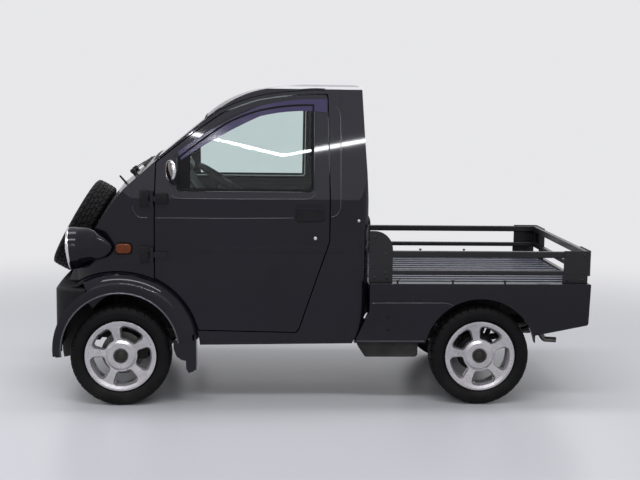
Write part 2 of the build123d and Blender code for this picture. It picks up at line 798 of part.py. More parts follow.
def rim_profile(side, width):
    """A rim's section, drawn as (y, radius): flanges, drop well, dished face, raised ring, cap and hub."""
    edge = width / 2
    seat = edge - flange_wall - flange_slant
    dish = edge - face_dish
    ring = dish + ring_rise
    section_points = [
        (-edge, flange_radius), (flange_wall - edge, flange_radius), (-seat, barrel_inner),
        (-well_rear, barrel_inner - 3), (well_front, barrel_inner - 3), (seat, barrel_inner),
        (edge - flange_wall, flange_radius), (edge + face_crown, flange_radius),
        (edge + face_crown, flange_radius - 9), (edge - 2, barrel_inner - 10), (dish, ring_radius + 12),
        (ring, ring_radius), (ring, cap_radius + 3), (ring - cap_recess, cap_radius),
        (ring - cap_recess, 0), (hub_depth, 0), (hub_depth, hub_bore + spindle_fit),
        (hub_depth - hub_length, hub_bore + spindle_fit), (hub_depth - hub_length, hub_radius),
        (dish - spoke_depth, hub_radius + 4), (edge - spoke_depth, barrel_inner - 16),
        (edge - spoke_depth - 6, barrel_inner - rim_wall - 3), (-well_rear, barrel_inner - 3 - rim_wall),
        (2 - edge, barrel_inner - rim_wall),
    ]
    with BuildSketch() as section:
        Polygon(*[(side * y, radius) for y, radius in section_points], align=None)
    return section.sketch


rim_windows = 5
window_inner = 84
window_outer = 147
window_half_angle = 24
window_turn = 65
window_corner = 15
window_bevel_depth = 9


def rim_window(turn, grow):
    """One kidney-shaped window between two spokes, or with grow the edge of its bevel."""
    low = window_turn + turn - window_half_angle
    high = window_turn + turn + window_half_angle
    corners = [(window_inner, low), (window_outer, low), (window_outer, high), (window_inner, high)]
    start, outer_start, outer_end, end = [(r * cos(radians(a)), r * sin(radians(a))) for r, a in corners]
    middle = radians(window_turn + turn)
    with BuildSketch(mode=Mode.PRIVATE) as window:
        with BuildLine():
            Line(start, outer_start)
            ThreePointArc(outer_start, (window_outer * cos(middle), window_outer * sin(middle)), outer_end)
            Line(outer_end, end)
            ThreePointArc(end, (window_inner * cos(middle), window_inner * sin(middle)), start)
        make_face()
        fillet(window.vertices(), window_corner)
        if grow:
            offset(amount=grow)
    return window.sketch


# Each wheel: its axle, its centre plane and its side of the truck
wheels = {
    "front_left": (front_axle_x, front_wheel_y, -1),
    "front_right": (front_axle_x, front_wheel_y, 1),
    "rear_left": (rear_axle_x, rear_wheel_y, -1),
    "rear_right": (rear_axle_x, rear_wheel_y, 1),
}
for name, (axle_x, wheel_y, side) in wheels.items():
    wheel_plane = Plane(origin=(axle_x, side * wheel_y, ground_to_axle), x_dir=(0, 1, 0), z_dir=(1, 0, 0))
    wheel_axis = Axis((axle_x, 0, ground_to_axle), (0, 1, 0))
    tyre_seat = rim_width - 2 * (flange_wall + flange_slant + running_gap)
    with BuildPart() as tyre:
        with BuildSketch(wheel_plane):
            add(tyre_section(tyre_radius, tyre_width, tyre_seat))
        revolve(axis=wheel_axis)
    finish(tyre, f"tyre_{name}")
    with BuildPart() as rim:
        with BuildSketch(wheel_plane):
            add(rim_profile(side, rim_width))
        revolve(axis=wheel_axis)
        dish_y = wheel_y + rim_width / 2 - face_dish
        with BuildSketch(Plane.XZ.offset(-side * (dish_y - 2 * spoke_depth))):
            with Locations((axle_x, ground_to_axle)):
                for number in range(rim_windows):
                    add(rim_window(number * 360 / rim_windows, 0))
        extrude(amount=-side * 4 * spoke_depth, mode=Mode.SUBTRACT)
        with BuildSketch(Plane.XZ.offset(-side * (dish_y - window_bevel_depth / 3))):
            with Locations((axle_x, ground_to_axle)):
                for number in range(rim_windows):
                    add(rim_window(number * 360 / rim_windows, 0))
        extrude(amount=-side * (window_bevel_depth + face_dish), taper=-30, mode=Mode.SUBTRACT)
    finish(rim, f"rim_{name}")

# Spare wheel, leaned back on the nose
spare_centre = (-256, 855)
spare_lean = 28.7
spare_radius = 262
spare_width = 124
spare_seat = 38
disc_thickness = 12
disc_y = 12
boss_reach = 120
boss_radius = 60
spare_turn = radians(spare_lean)
spare_normal = Vector(-cos(spare_turn), 0, sin(spare_turn))
spare_plane = Plane(origin=(ahead(spare_centre[0]), 0, spare_centre[1]), x_dir=spare_normal, z_dir=(0, 1, 0))
spare_axis = Axis(spare_plane.origin, spare_normal)
with BuildPart() as spare_tyre:
    with BuildSketch(spare_plane):
        add(tyre_section(spare_radius, spare_width, 2 * (spare_seat - running_gap)))
    revolve(axis=spare_axis)
    add(outer_form, mode=Mode.SUBTRACT)
finish(spare_tyre, "spare_tyre")
with BuildPart() as spare_rim:
    with BuildSketch(spare_plane):
        flange = spare_seat + flange_slant
        crown = disc_y + 18
        Polygon((flange + flange_wall, flange_radius), (flange, flange_radius), (spare_seat, barrel_inner),
                (-spare_seat, barrel_inner), (-flange, flange_radius), (-flange - flange_wall, flange_radius),
                (2 - flange, barrel_inner - 9), (crown - disc_thickness, barrel_inner - 9),
                (crown, 120), (disc_y, 90), (disc_y, 0), (disc_y + disc_thickness, 0),
                (disc_y + disc_thickness, 80), (crown + disc_thickness, 118),
                (flange, barrel_inner - rim_wall), align=None)
    revolve(axis=spare_axis)
    with BuildSketch(spare_plane):
        Polygon((-boss_reach, 0), (disc_y, 0), (disc_y, 40), (-40, boss_radius), (-boss_reach, boss_radius),
                align=None)
    revolve(axis=spare_axis)
    add(outer_form, mode=Mode.SUBTRACT)
finish(spare_rim, "spare_rim")

# Steering knuckles: a strut tube on the kingpin line, with a drum and a spindle for the wheel
kingpin_low = (470, 178)
kingpin_high = (396, 640)
strut_radius = 24
rod_radius = 11
tube_top_z = 500
tube_overlap = 120
spindle_reach = 36
front_drum_radius = 46
drum_gap = 6
kingpin_slope = (kingpin_low[0] - kingpin_high[0]) / (kingpin_high[1] - kingpin_low[1])
spindle_start = kingpin_low[0] - (ground_to_axle - kingpin_low[1]) * kingpin_slope


def kingpin_line(side):
    """A kingpin's lower end and its direction."""
    low = Vector(front_axle_x, side * kingpin_low[0], kingpin_low[1])
    high = Vector(front_axle_x, side * kingpin_high[0], kingpin_high[1])
    return low, (high - low).normalized()


for name, side in (("left", -1), ("right", 1)):
    low, kingpin = kingpin_line(side)
    tube_length = (tube_top_z - kingpin_low[1]) / kingpin.Z
    strut_plane = Plane(origin=low, z_dir=kingpin)
    with BuildPart() as knuckle:
        with BuildSketch(strut_plane):
            Circle(strut_radius)
        extrude(amount=tube_length)
        with BuildSketch(strut_plane.offset(tube_length - tube_overlap)):
            Circle(rod_radius + spindle_fit)
        extrude(amount=2 * tube_overlap, mode=Mode.SUBTRACT)
        with BuildSketch(Plane.XZ.offset(-side * spindle_start)):
            with Locations((front_axle_x, ground_to_axle)):
                Circle(hub_bore)
        extrude(amount=-side * (front_wheel_y + spindle_reach - spindle_start))
        with BuildSketch(Plane.XZ.offset(-side * (spindle_start + drum_gap))):
            with Locations((front_axle_x, ground_to_axle)):
                Circle(front_drum_radius)
        extrude(amount=-side * (front_wheel_y + hub_depth - hub_length - 2 * drum_gap - spindle_start))
    finish(knuckle, f"knuckle_{name}")

# Front suspension that stays with the body: crossmember, lower arms, strut rods and towers
beam_half_width = 300
beam_depth = 90
beam_height = 70
beam_z = 250
arm_root = [(290, 222), (290, 250)]
arm_end = [(462, 162), (462, 140)]
arm_width = 50
joint_radius = 30
joint_height = 30
joint_z = 157
stud_radius = 14
tower_radius = 58
rod_length = 250
tower_length = 70
with BuildPart() as front_suspension:
    with Locations((front_axle_x, 0, beam_z)):
        Box(beam_depth, 2 * beam_half_width, beam_height)
    for side in (-1, 1):
        low, kingpin = kingpin_line(side)
        with BuildSketch(Plane.YZ.offset(front_axle_x - arm_width / 2)):
            Polygon(*[(side * y, z) for y, z in arm_root + arm_end], align=None)
        extrude(amount=arm_width)
        with Locations((front_axle_x, side * kingpin_low[0], joint_z)):
            Cylinder(joint_radius, joint_height)
        with BuildSketch(Plane(origin=low, z_dir=-kingpin).offset(running_gap)):
            Circle(stud_radius)
        extrude(amount=kingpin_low[1] - joint_z)
        rod_start = (tube_top_z - tube_overlap + 20 - kingpin_low[1]) / kingpin.Z
        rod_foot = Plane(origin=low + kingpin * rod_start, z_dir=kingpin)
        with BuildSketch(rod_foot):
            Circle(rod_radius)
        extrude(amount=rod_length)
        with BuildSketch(rod_foot.offset(rod_length - 20)):
            Circle(tower_radius)
        extrude(amount=tower_length)
    add(outer_form, mode=Mode.SUBTRACT)
    add(fenders.part, mode=Mode.SUBTRACT)
finish(front_suspension, "front_suspension")

# Chassis frame: two rails that rise over the rear axle, and cross members between them
rail_inner = 250
rail_outer = 310
rail_middle = (rail_inner + rail_outer) / 2
rail_low = 290
rail_high = 380
rail_rise = 130
rail_stations = [(-235, 0), (1300, 0), (1450, 1), (2370, 1)]
body_mounts_x = [0, 560]
body_mount_radius = 28
tow_eye_x = -270
tow_eye_radius = 13
tow_eye_thickness = 14
tow_eye_width = 56
tow_eye_plate = 130
with BuildPart() as frame_rails:
    for side in (-1, 1):
        with BuildSketch(Plane.XZ.offset(-side * rail_inner)):
            lower = [(ahead(x), rail_low + rail_rise * lift) for x, lift in rail_stations]
            upper = [(ahead(x), rail_high + rail_rise * lift) for x, lift in reversed(rail_stations)]
            Polygon(*lower, *upper, align=None)
        extrude(amount=-side * (rail_outer - rail_inner))
        for mount_x in body_mounts_x:
            with Locations((ahead(mount_x), side * rail_middle, rail_high)):
                Cylinder(body_mount_radius, floor_z - rail_high - running_gap,
                         align=(Align.CENTER, Align.CENTER, Align.MIN))
    with BuildSketch(Plane.XY.offset(rail_low - tow_eye_thickness)):
        with Locations((ahead(tow_eye_x), -rail_middle)):
            Circle(tow_eye_width / 2)
            Rectangle(tow_eye_plate, tow_eye_width, align=(Align.MIN, Align.CENTER))
            Circle(tow_eye_radius, mode=Mode.SUBTRACT)
    extrude(amount=tow_eye_thickness)
finish(frame_rails, "chassis_frame")

# Each cross member: its station, its middle height
cross_members = [(-180, 335), (640, 335), (1230, 335), (1560, 460), (2340, 460)]
cross_depth = 50
cross_height = 60
with BuildPart() as members:
    for cross_x, cross_z in cross_members:
        with Locations((ahead(cross_x), 0, cross_z)):
            Box(cross_depth, 2 * rail_inner, cross_height)
finish(members, "cross_members")

# Bed bearers: four beams that lie across the rails under the deck, the first on two posts
bed_half_width = 622
bed_side_wall = 40
bed_front = ahead(1262)
bed_rear = ahead(2402)
bed_top = 634
deck_low = 600
bearer_half_length = bed_half_width - bed_side_wall - 12
bearer_width = 46
bearers_x = [1310, 1640, 2010, 2330]
with BuildPart() as bearers:
    for bearer_x in bearers_x:
        with Locations((ahead(bearer_x), 0, (rail_high + rail_rise + deck_low) / 2)):
            Box(bearer_width, 2 * bearer_half_length, deck_low - rail_high - rail_rise)
    for side in (-1, 1):
        with Locations((ahead(bearers_x[0]), side * rail_middle, rail_high + rail_rise)):
            Box(bearer_width, rail_outer - rail_inner, rail_rise,
                align=(Align.CENTER, Align.CENTER, Align.MAX))
    add(frame_rails.part, mode=Mode.SUBTRACT)
finish(bearers, "bed_bearers")

# Engine: one plain block between the rails, under the seats
engine_x = 930
engine_length = 430
engine_low = 300
engine_high = 590
with BuildPart() as engine:
    with Locations((ahead(engine_x), 0, (engine_low + engine_high) / 2)):
        Box(engine_length, 2 * (rail_inner - running_gap), engine_high - engine_low)
    fillet(engine.edges().filter_by(Axis.X), 20)
finish(engine, "engine_block")

# Rear axle: beam, final drive, brake drums and spindles
beam_radius = 32
beam_reach = 470
drum_radius = 100
drum_inner_y = 425
drum_width = 50
drive_radius = 95
pinion_length = 190
pinion_radius = 38
with BuildPart() as rear_axle:
    with BuildSketch(Plane.XZ):
        with Locations((rear_axle_x, ground_to_axle)):
            Circle(beam_radius)
    extrude(amount=beam_reach, both=True)
    for side in (-1, 1):
        with BuildSketch(Plane.XZ.offset(-side * drum_inner_y)):
            with Locations((rear_axle_x, ground_to_axle)):
                Circle(drum_radius)
        extrude(amount=-side * drum_width)
        with BuildSketch(Plane.XZ.offset(-side * (drum_inner_y + drum_width / 2))):
            with Locations((rear_axle_x, ground_to_axle)):
                Circle(hub_bore)
        extrude(amount=-side * (rear_wheel_y + spindle_reach - drum_inner_y - drum_width / 2))
    with Locations((rear_axle_x, 0, ground_to_axle)):
        Sphere(drive_radius)
    with BuildSketch(Plane.YZ.offset(rear_axle_x - pinion_length)):
        with Locations((0, ground_to_axle)):
            Circle(pinion_radius)
    extrude(amount=pinion_length)
finish(rear_axle, "rear_axle")

# Rear leaf springs: three leaves each, from hangers outside the rails, clamped on the beam
spring_y = 350
spring_width = 50
leaf_thickness = 8
leaf_reaches = [240, 340, 425]     # half lengths, from the lowest leaf up
spring_middle = ahead(1845)
spring_eye_z = 395
hanger_length = 40
hanger_height = 90
hanger_width = 80
spring_low_z = ground_to_axle + beam_radius + running_gap
with BuildPart() as springs:
    for side in (-1, 1):
        for number, reach in enumerate(leaf_reaches):
            low_z = spring_low_z + number * leaf_thickness
            end_z = low_z + (spring_eye_z - spring_low_z) * (reach / leaf_reaches[-1]) ** 2
            with BuildSketch(Plane.XZ.offset(-side * (spring_y - spring_width / 2))):
                with BuildLine():
                    ThreePointArc((spring_middle - reach, end_z), (spring_middle, low_z),
                                  (spring_middle + reach, end_z))
                    Line((spring_middle + reach, end_z), (spring_middle + reach, end_z + leaf_thickness))
                    ThreePointArc((spring_middle + reach, end_z + leaf_thickness),
                                  (spring_middle, low_z + leaf_thickness),
                                  (spring_middle - reach, end_z + leaf_thickness))
                    Line((spring_middle - reach, end_z + leaf_thickness), (spring_middle - reach, end_z))
                make_face()
            extrude(amount=-side * spring_width)
        for end in (-1, 1):
            hanger_x = spring_middle + end * leaf_reaches[-1]
            hanger_y = side * (rail_outer + running_gap + hanger_width / 2)
            with Locations((hanger_x, hanger_y, spring_eye_z + hanger_height / 2)):
                Box(hanger_length, hanger_width, hanger_height)
finish(springs, "rear_springs")

# Fuel tank under the front of the bed, hung inside the left bed side
tank_inner_y = 400
tank_outer_y = bed_half_width - bed_side_wall - running_gap
tank_outline = [(1206, 388), (1206, 308), (1246, 248), (1518, 248), (1518, 388)]
tank_round = 16
with BuildPart() as tank:
    with BuildSketch(Plane.XZ.offset(tank_inner_y)):
        Polygon(*[(ahead(x), z) for x, z in tank_outline], align=None)
    extrude(amount=tank_outer_y - tank_inner_y)
    fillet(tank.edges().filter_by(Axis.Y), tank_round)
finish(tank, "fuel_tank")

# Exhaust: muffler behind the axle and a tail pipe low on the left, hung from the left rail
muffler_front = 1985
muffler_length = 210
muffler_y = -180
muffler_z = 352
muffler_half_width = 110
muffler_half_height = 58
muffler_round = 14
pipe_radius = 14.5
pipe_points = [(2150, -250, 352), (2215, -270, 340), (2250, -290, 280), (2315, -300, 278)]
pipe_bend = 20
hangers_x = [2055, 2140]
hanger_bar = 20
strap_z = 472
strap_height = 16
strap_x = 2098
strap_length = 110
with BuildPart() as exhaust:
    with BuildSketch(Plane.YZ.offset(ahead(muffler_front))):
        with Locations((muffler_y, muffler_z)):
            Ellipse(muffler_half_width, muffler_half_height)
    extrude(amount=muffler_length)
    fillet(exhaust.edges().filter_by(GeomType.ELLIPSE), muffler_round)
    with BuildLine() as pipe_path:
        FilletPolyline(*[(ahead(x), y, z) for x, y, z in pipe_points], radius=pipe_bend)
    with BuildSketch(Plane(origin=pipe_path.line @ 0, z_dir=pipe_path.line % 0)):
        Circle(pipe_radius)
    sweep(path=pipe_path.line)
    for hanger_x in hangers_x:
        with Locations((ahead(hanger_x), muffler_y, muffler_z)):
            Box(hanger_bar, hanger_bar, strap_z - muffler_z + strap_height / 2,
                align=(Align.CENTER, Align.CENTER, Align.MIN))
    with Locations((ahead(strap_x), muffler_y + hanger_bar / 2, strap_z)):
        Box(strap_length, rail_inner - running_gap + muffler_y + hanger_bar / 2, strap_height,
            align=(Align.CENTER, Align.MAX, Align.CENTER))
finish(exhaust, "exhaust")

# Bed deck with lengthwise ribs and four bolt holes
deck_top = 624
deck_ribs = 15
rib_width = 40
rib_height = 7
rib_end = 18
tail_wall = 24
deck_bolt_x = 1832
deck_bolt_length = 800
deck_bolt_width = 914
deck_bolt_radius = 5.5
deck_half = bed_half_width - bed_side_wall - running_gap
deck_middle = (bed_front + bed_rear - tail_wall) / 2
deck_length = bed_rear - bed_front - tail_wall - running_gap
with BuildPart() as deck:
    with BuildSketch(Plane.XY.offset(deck_low + running_gap)):
        with Locations((deck_middle, 0)):
            Rectangle(deck_length, 2 * deck_half)
    extrude(amount=deck_top - deck_low - running_gap)
    with BuildSketch(Plane.XY.offset(deck_top)):
        with Locations((deck_middle, 0)):
            with GridLocations(0, 2 * deck_half / deck_ribs, 1, deck_ribs):
                Rectangle(deck_length - 2 * rib_end, rib_width)
    extrude(amount=rib_height)
    with Locations((ahead(deck_bolt_x), 0, deck_top + rib_height)):
        with GridLocations(deck_bolt_length, deck_bolt_width, 2, 2):
            Hole(deck_bolt_radius)
finish(deck, "bed_deck")

# Bed sides with the rear arches cut, a skirt line and two drain recesses
bed_outline = [(1262, 634), (2402, 634), (2396, 433), (2390, 422), (2121, 368), (2121, 329), (1186, 329),
               (1262, 494)]
rear_arch_x = 1836
rear_arch_radius = 290
rear_arch_z = 268
skirt_z = 546
skirt_front = 1262
skirt_rear = 1672
skirt_drop = [(1672, 546), (1704, 528)]
skirt_groove = 5
skirt_depth = 3
recesses = [(1356, 465, 12), (1358, 398, 9)]      # station, height, radius
recess_depth = 9
with BuildPart() as bed_sides:
    for side in (-1, 1):
        with BuildSketch(Plane.XZ.offset(-side * (bed_half_width - bed_side_wall))):
            Polygon(*[(ahead(x), z) for x, z in bed_outline], align=None)
            with Locations((ahead(rear_arch_x), rear_arch_z)):
                Circle(rear_arch_radius, mode=Mode.SUBTRACT)
        extrude(amount=-side * bed_side_wall)
        with BuildSketch(Plane.XZ.offset(-side * (bed_half_width - skirt_depth))):
            with Locations((ahead(skirt_front), skirt_z)):
                Rectangle(skirt_rear - skirt_front, skirt_groove, align=(Align.MIN, Align.CENTER))
            with BuildLine():
                Polyline(*[(ahead(x), z) for x, z in skirt_drop])
            trace(line_width=skirt_groove)
        extrude(amount=-side * 2 * skirt_depth, mode=Mode.SUBTRACT)
        for recess_x, recess_z, recess_radius in recesses:
            with BuildSketch(Plane.XZ.offset(-side * (bed_half_width - recess_depth))):
                with Locations((ahead(recess_x), recess_z)):
                    Circle(recess_radius)
            extrude(amount=-side * 2 * recess_depth, mode=Mode.SUBTRACT)
    add(outer_form, mode=Mode.SUBTRACT)
finish(bed_sides, "bed_sides")

# Rope hooks: headed pins along the top of each bed side
hooks_x = [1405, 1690, 1960]
hook_y = bed_half_width - 24
hook_radius = 5
hook_height = 14
hook_head = 9
upright = (Align.CENTER, Align.CENTER, Align.MIN)
with BuildPart() as rope_hooks:
    for side in (-1, 1):
        for hook_x in hooks_x:
            with Locations((ahead(hook_x), side * hook_y, bed_top + running_gap)):
                Cylinder(hook_radius, hook_height, align=upright)
            with Locations((ahead(hook_x), side * hook_y, bed_top + hook_height)):
                Cylinder(hook_head, hook_radius, align=upright)
finish(rope_hooks, "rope_hooks")

tail_low = 432
lamp_y = bed_half_width - 107
lamp_z = 500
lamp_width = 110
lamp_height = 70
lamp_depth = 20
lamp_proud = 4.7
lamp_round = 8
with BuildPart() as tail:
    with BuildSketch(Plane.YZ.offset(bed_rear - tail_wall)):
        with Locations((0, (tail_low + bed_top) / 2)):
            Rectangle(2 * deck_half, bed_top - tail_low)
    extrude(amount=tail_wall)
    with BuildSketch(Plane.YZ.offset(bed_rear + lamp_proud - lamp_depth - running_gap)):
        with Locations((-lamp_y, lamp_z), (lamp_y, lamp_z)):
            RectangleRounded(lamp_width + 2 * running_gap, lamp_height + 2 * running_gap, lamp_round)
    extrude(amount=tail_wall, mode=Mode.SUBTRACT)
finish(tail, "bed_tail")

# Guards: front plates, side rails and wrapped corner plates each side, and two rails across the tail
guard_y = bed_half_width - 34
plate_thickness = 4
rail_tube = 24
rail_heights = [(767, 800), (676, 700)]      # lower and upper edge of each rail
plate_front = 1258
plate_rear = 1379
plate_high = 902
plate_round = 95
guard_foot = bed_top + running_gap
rail_start = 1300
corner_low = 675
corner_high = 805
corner_front = 2264
corner_rear = 2407
corner_bend = 14
corner_return = 200
corner_foot = (2259, 2390)
rail_round = 5
for name, side in (("left", -1), ("right", 1)):
    with BuildPart() as guard:
        with BuildSketch(Plane.XZ.offset(-side * guard_y)):
            with BuildLine():
                Polyline((ahead(plate_rear), plate_high - plate_round), (ahead(plate_rear), guard_foot),
                         (ahead(plate_front), guard_foot), (ahead(plate_front), plate_high),
                         (ahead(plate_rear - plate_round), plate_high))
                RadiusArc((ahead(plate_rear - plate_round), plate_high),
                          (ahead(plate_rear), plate_high - plate_round), plate_round)
            make_face()
        extrude(amount=-side * plate_thickness)
        plate_y = side * (guard_y + plate_thickness / 2)
        bend_x = ahead(corner_rear) - plate_thickness / 2
        with BuildSketch(Plane.XY.offset(corner_low)):
            with BuildLine():
                FilletPolyline((ahead(corner_front), plate_y), (bend_x, plate_y),
                               (bend_x, plate_y - side * corner_return), radius=corner_bend)
            trace(line_width=plate_thickness)
        extrude(amount=corner_high - corner_low)
        with BuildSketch(Plane.XZ.offset(-side * guard_y)):
            with Locations((ahead(corner_foot[0]), guard_foot)):
                Rectangle(corner_foot[1] - corner_foot[0], corner_low - guard_foot, align=Align.MIN)
        extrude(amount=-side * plate_thickness)
        for low, high in rail_heights:
            with BuildSketch(Plane.YZ.offset(ahead(rail_start))):
                with Locations((side * (guard_y - rail_tube / 2), (low + high) / 2)):
                    RectangleRounded(rail_tube, high - low, rail_round)
            extrude(amount=corner_rear - plate_thickness - rail_start)
    finish(guard, f"side_guard_{name}")
rear_rail_x = ahead(corner_rear) - plate_thickness - running_gap - rail_tube / 2
rear_feet_y = [-400, 400]
with BuildPart() as rear_guard:
    for low, high in rail_heights:
        with Locations((rear_rail_x, 0, (low + high) / 2)):
            Box(rail_tube, 2 * (guard_y - rail_tube - running_gap), high - low)
    for foot_y in rear_feet_y:
        with Locations((rear_rail_x, foot_y, guard_foot)):
            Box(rail_tube, rail_tube, rail_heights[0][0] - guard_foot,
                align=(Align.CENTER, Align.CENTER, Align.MIN))
finish(rear_guard, "rear_guard")

# Tail lamps in pockets of the tail panel, and blank number plates
plate_width = 330
plate_height = 165
plate_sheet = 3
plate_corner = 8
rear_plate_z = 530
front_plate_z = 455
lamp_edge = 3
with BuildPart() as tail_lamps:
    with BuildSketch(Plane.YZ.offset(bed_rear + lamp_proud - lamp_depth)):
        with Locations((-lamp_y, lamp_z), (lamp_y, lamp_z)):
            RectangleRounded(lamp_width, lamp_height, lamp_round)
    extrude(amount=lamp_depth)
    fillet(tail_lamps.faces().group_by(Axis.X)[-1].edges(), lamp_edge)
finish(tail_lamps, "tail_lamps")
with BuildPart() as plates:
    for plate_x, plate_z in ((bed_rear + running_gap, rear_plate_z),
                             (ahead(-bumper_front) - running_gap - plate_sheet, front_plate_z)):
        with BuildSketch(Plane.YZ.offset(plate_x)):
            with Locations((0, plate_z)):
                RectangleRounded(plate_width, plate_height, plate_corner)
        extrude(amount=plate_sheet)
finish(plates, "number_plates")

# Cabin: dashboard, steering wheel, seats
dash_half_width = cab_half_width - 55
dash_outline = [(60, 1000), (60, 1300), (200, 1300), (300, 1135), (345, 1060), (392, 985), (385, 905),
                (250, 845), (150, 880)]
dash_round = 20
with BuildPart() as dashboard:
    with BuildSketch(Plane.XZ.offset(-dash_half_width)):
        Polygon(*[(ahead(x), z) for x, z in dash_outline], align=None)
    extrude(amount=2 * dash_half_width)
    fillet(dashboard.edges().filter_by(Axis.Y).sort_by(Axis.X)[-2:], dash_round)
    add(cab_form(cab_wall + running_gap), mode=Mode.INTERSECT)
finish(dashboard, "dashboard")

wheel_centre = (506, 1075)
wheel_slope = -33.8
wheel_radius = 185
grip_radius = 13
steer_y = 290
boss = (38, 30)
spokes_at = [90, 210, 330]
spoke_width = 26
spoke_thickness = 8
column_radius = 22
column_foot = 420
slope = radians(wheel_slope)
rim_plane = Plane(origin=(ahead(wheel_centre[0]), steer_y, wheel_centre[1]),
                  x_dir=(cos(slope), 0, sin(slope)), z_dir=(-sin(slope), 0, cos(slope)))
with BuildPart() as steering:
    with Locations(rim_plane):
        Torus(wheel_radius - grip_radius, grip_radius)
        Cylinder(*boss)
        for spoke_turn in spokes_at:
            with Locations(Location((0, 0, 0), (0, 0, spoke_turn))):
                with Locations(((wheel_radius - grip_radius) / 2, 0, -spoke_thickness / 2)):
                    Box(wheel_radius - 2 * grip_radius, spoke_width, spoke_thickness)
    with Locations(rim_plane.offset(-column_foot / 2)):
        Cylinder(column_radius, column_foot)
    add(dashboard.part, mode=Mode.SUBTRACT)
finish(steering, "steering_wheel")

seat_y = 285
seat_x = 830
cushion_length = 410
cushion_width = 440
cushion_height = 120
cushion_round = 50
back_x = 1080.6
back_z = 660
back_tilt = 5
back_thickness = 90
back_width = 430
back_height = 570
with BuildPart() as seat_cushions:
    for side in (-1, 1):
        with Locations((ahead(seat_x), side * seat_y, seat_box_z + cab_wall + running_gap)):
            Box(cushion_length, cushion_width, cushion_height, align=(Align.CENTER, Align.CENTER, Align.MIN))
    fillet(seat_cushions.edges().filter_by(Axis.Z), cushion_round)
finish(seat_cushions, "seat_cushions")
tilt = radians(back_tilt)
with BuildPart() as seat_backs:
    for side in (-1, 1):
        back_plane = Plane(origin=(ahead(back_x), side * seat_y, back_z), x_dir=(cos(tilt), 0, -sin(tilt)),
                           z_dir=(sin(tilt), 0, cos(tilt)))
        with Locations(back_plane):
            Box(back_thickness, back_width, back_height, align=(Align.CENTER, Align.CENTER, Align.MIN))
finish(seat_backs, "seat_backs")

# Wipers: two arms that lie across the foot of the windscreen, each on a capped pivot on the cowl
wiper_side_y = [-330, 60]
wiper_length = 330
wiper_rise = 30
wiper_bar = 9
pivot_radius = 13
pivot_length = 90
pivot_stand = 22
cowl_plane = Plane(origin=(ahead(110), 0, cab_profile["screen_foot"][1] - 24), x_dir=(0, 1, 0),
                   z_dir=(square.X, 0, square.Y))
with BuildPart() as wipers:
    for start_y in wiper_side_y:
        with BuildSketch(cowl_plane.offset(pivot_stand - wiper_bar)):
            with BuildLine():
                Polyline((start_y, 0), (start_y + wiper_length, wiper_rise))
            trace(line_width=wiper_bar)
        extrude(amount=wiper_bar)
        with BuildSketch(cowl_plane.offset(pivot_stand)):
            with Locations((start_y, 0)):
                Circle(pivot_radius)
        extrude(amount=-pivot_length)
    add(outer_form, mode=Mode.SUBTRACT)
finish(wipers, "wipers")

# Each piece to its own file
os.makedirs("parts", exist_ok=True)
for label, piece in pieces.items():
    export_step(piece, f"parts/{label}.step")
print("pieces", len(pieces), "solids", sum(len(piece.solids()) for piece in pieces.values()))
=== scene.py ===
# %% [markdown]
# # A kei truck, finished in Blender
# The construction of this small truck comes as a fixed frame: every panel, wheel and rail is already at its
# real size and place. This lesson gives each surface its finish, and adds the small pieces that the
# construction leaves out: seals, bolts, treads, lamps' insides, cushions. Everything is in metres, with
# +X to the truck's rear, +Y to its right and +Z up.

# %% Load the frame
import json
import math
import bmesh
import bpy
from mathutils import Matrix, Vector
from mathutils.bvhtree import BVHTree


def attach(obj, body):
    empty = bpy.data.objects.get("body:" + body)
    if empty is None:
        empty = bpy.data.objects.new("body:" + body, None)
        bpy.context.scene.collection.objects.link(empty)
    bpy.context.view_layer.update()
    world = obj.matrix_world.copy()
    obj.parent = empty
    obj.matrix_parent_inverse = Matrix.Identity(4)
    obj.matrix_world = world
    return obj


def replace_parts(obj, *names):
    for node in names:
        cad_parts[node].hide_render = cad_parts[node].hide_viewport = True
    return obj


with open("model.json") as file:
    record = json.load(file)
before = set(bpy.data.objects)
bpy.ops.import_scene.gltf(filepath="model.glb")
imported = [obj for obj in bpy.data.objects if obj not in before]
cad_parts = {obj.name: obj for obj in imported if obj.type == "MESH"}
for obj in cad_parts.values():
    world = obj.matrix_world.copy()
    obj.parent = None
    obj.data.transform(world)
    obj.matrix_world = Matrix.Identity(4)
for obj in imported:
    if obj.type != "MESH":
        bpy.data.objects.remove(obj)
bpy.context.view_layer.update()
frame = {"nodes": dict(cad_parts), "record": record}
nodes = frame["nodes"]

# %% [markdown]
# ## The camera
# A long lens looks on from the left side, as high as the roof and a little ahead of the middle. Its place is
# written as a real position, and three angles turn a plain camera frame: to the right, down, then a slight roll.

# %% Camera
camera_place = Vector((-0.3114, -6.4205, 1.5972))
camera_turn = math.radians(3.209)
camera_dip = math.radians(7.252)
camera_roll = math.radians(0.764)
lens_millimetres = 65.31


def camera_axes(turn, dip, roll):
    """The camera's right, up and forward directions in the truck's frame."""
    forward = Vector((math.sin(turn) * math.cos(dip), math.cos(turn) * math.cos(dip), -math.sin(dip)))
    level_right = Vector((math.cos(turn), -math.sin(turn), 0))
    level_up = level_right.cross(forward)
    right = math.cos(roll) * level_right + math.sin(roll) * level_up
    up = math.cos(roll) * level_up - math.sin(roll) * level_right
    return right, up, forward


camera_data = bpy.data.cameras.new("camera")
camera_data.lens = lens_millimetres
camera = bpy.data.objects.new("camera", camera_data)
bpy.context.scene.collection.objects.link(camera)
right, up, forward = camera_axes(camera_turn, camera_dip, camera_roll)
turned = Matrix((right, up, -forward)).transposed()
camera.matrix_world = Matrix.Translation(camera_place) @ turned.to_4x4()
bpy.context.scene.camera = camera
print("camera looks along", tuple(round(part, 3) for part in forward))

# %% [markdown]
# ## Writing node trees
# The world, the floor and every finish are node trees. Three helpers write them in few lines: one adds a node
# and fills or links its sockets by name, one does a sum, and one mixes two shaders.

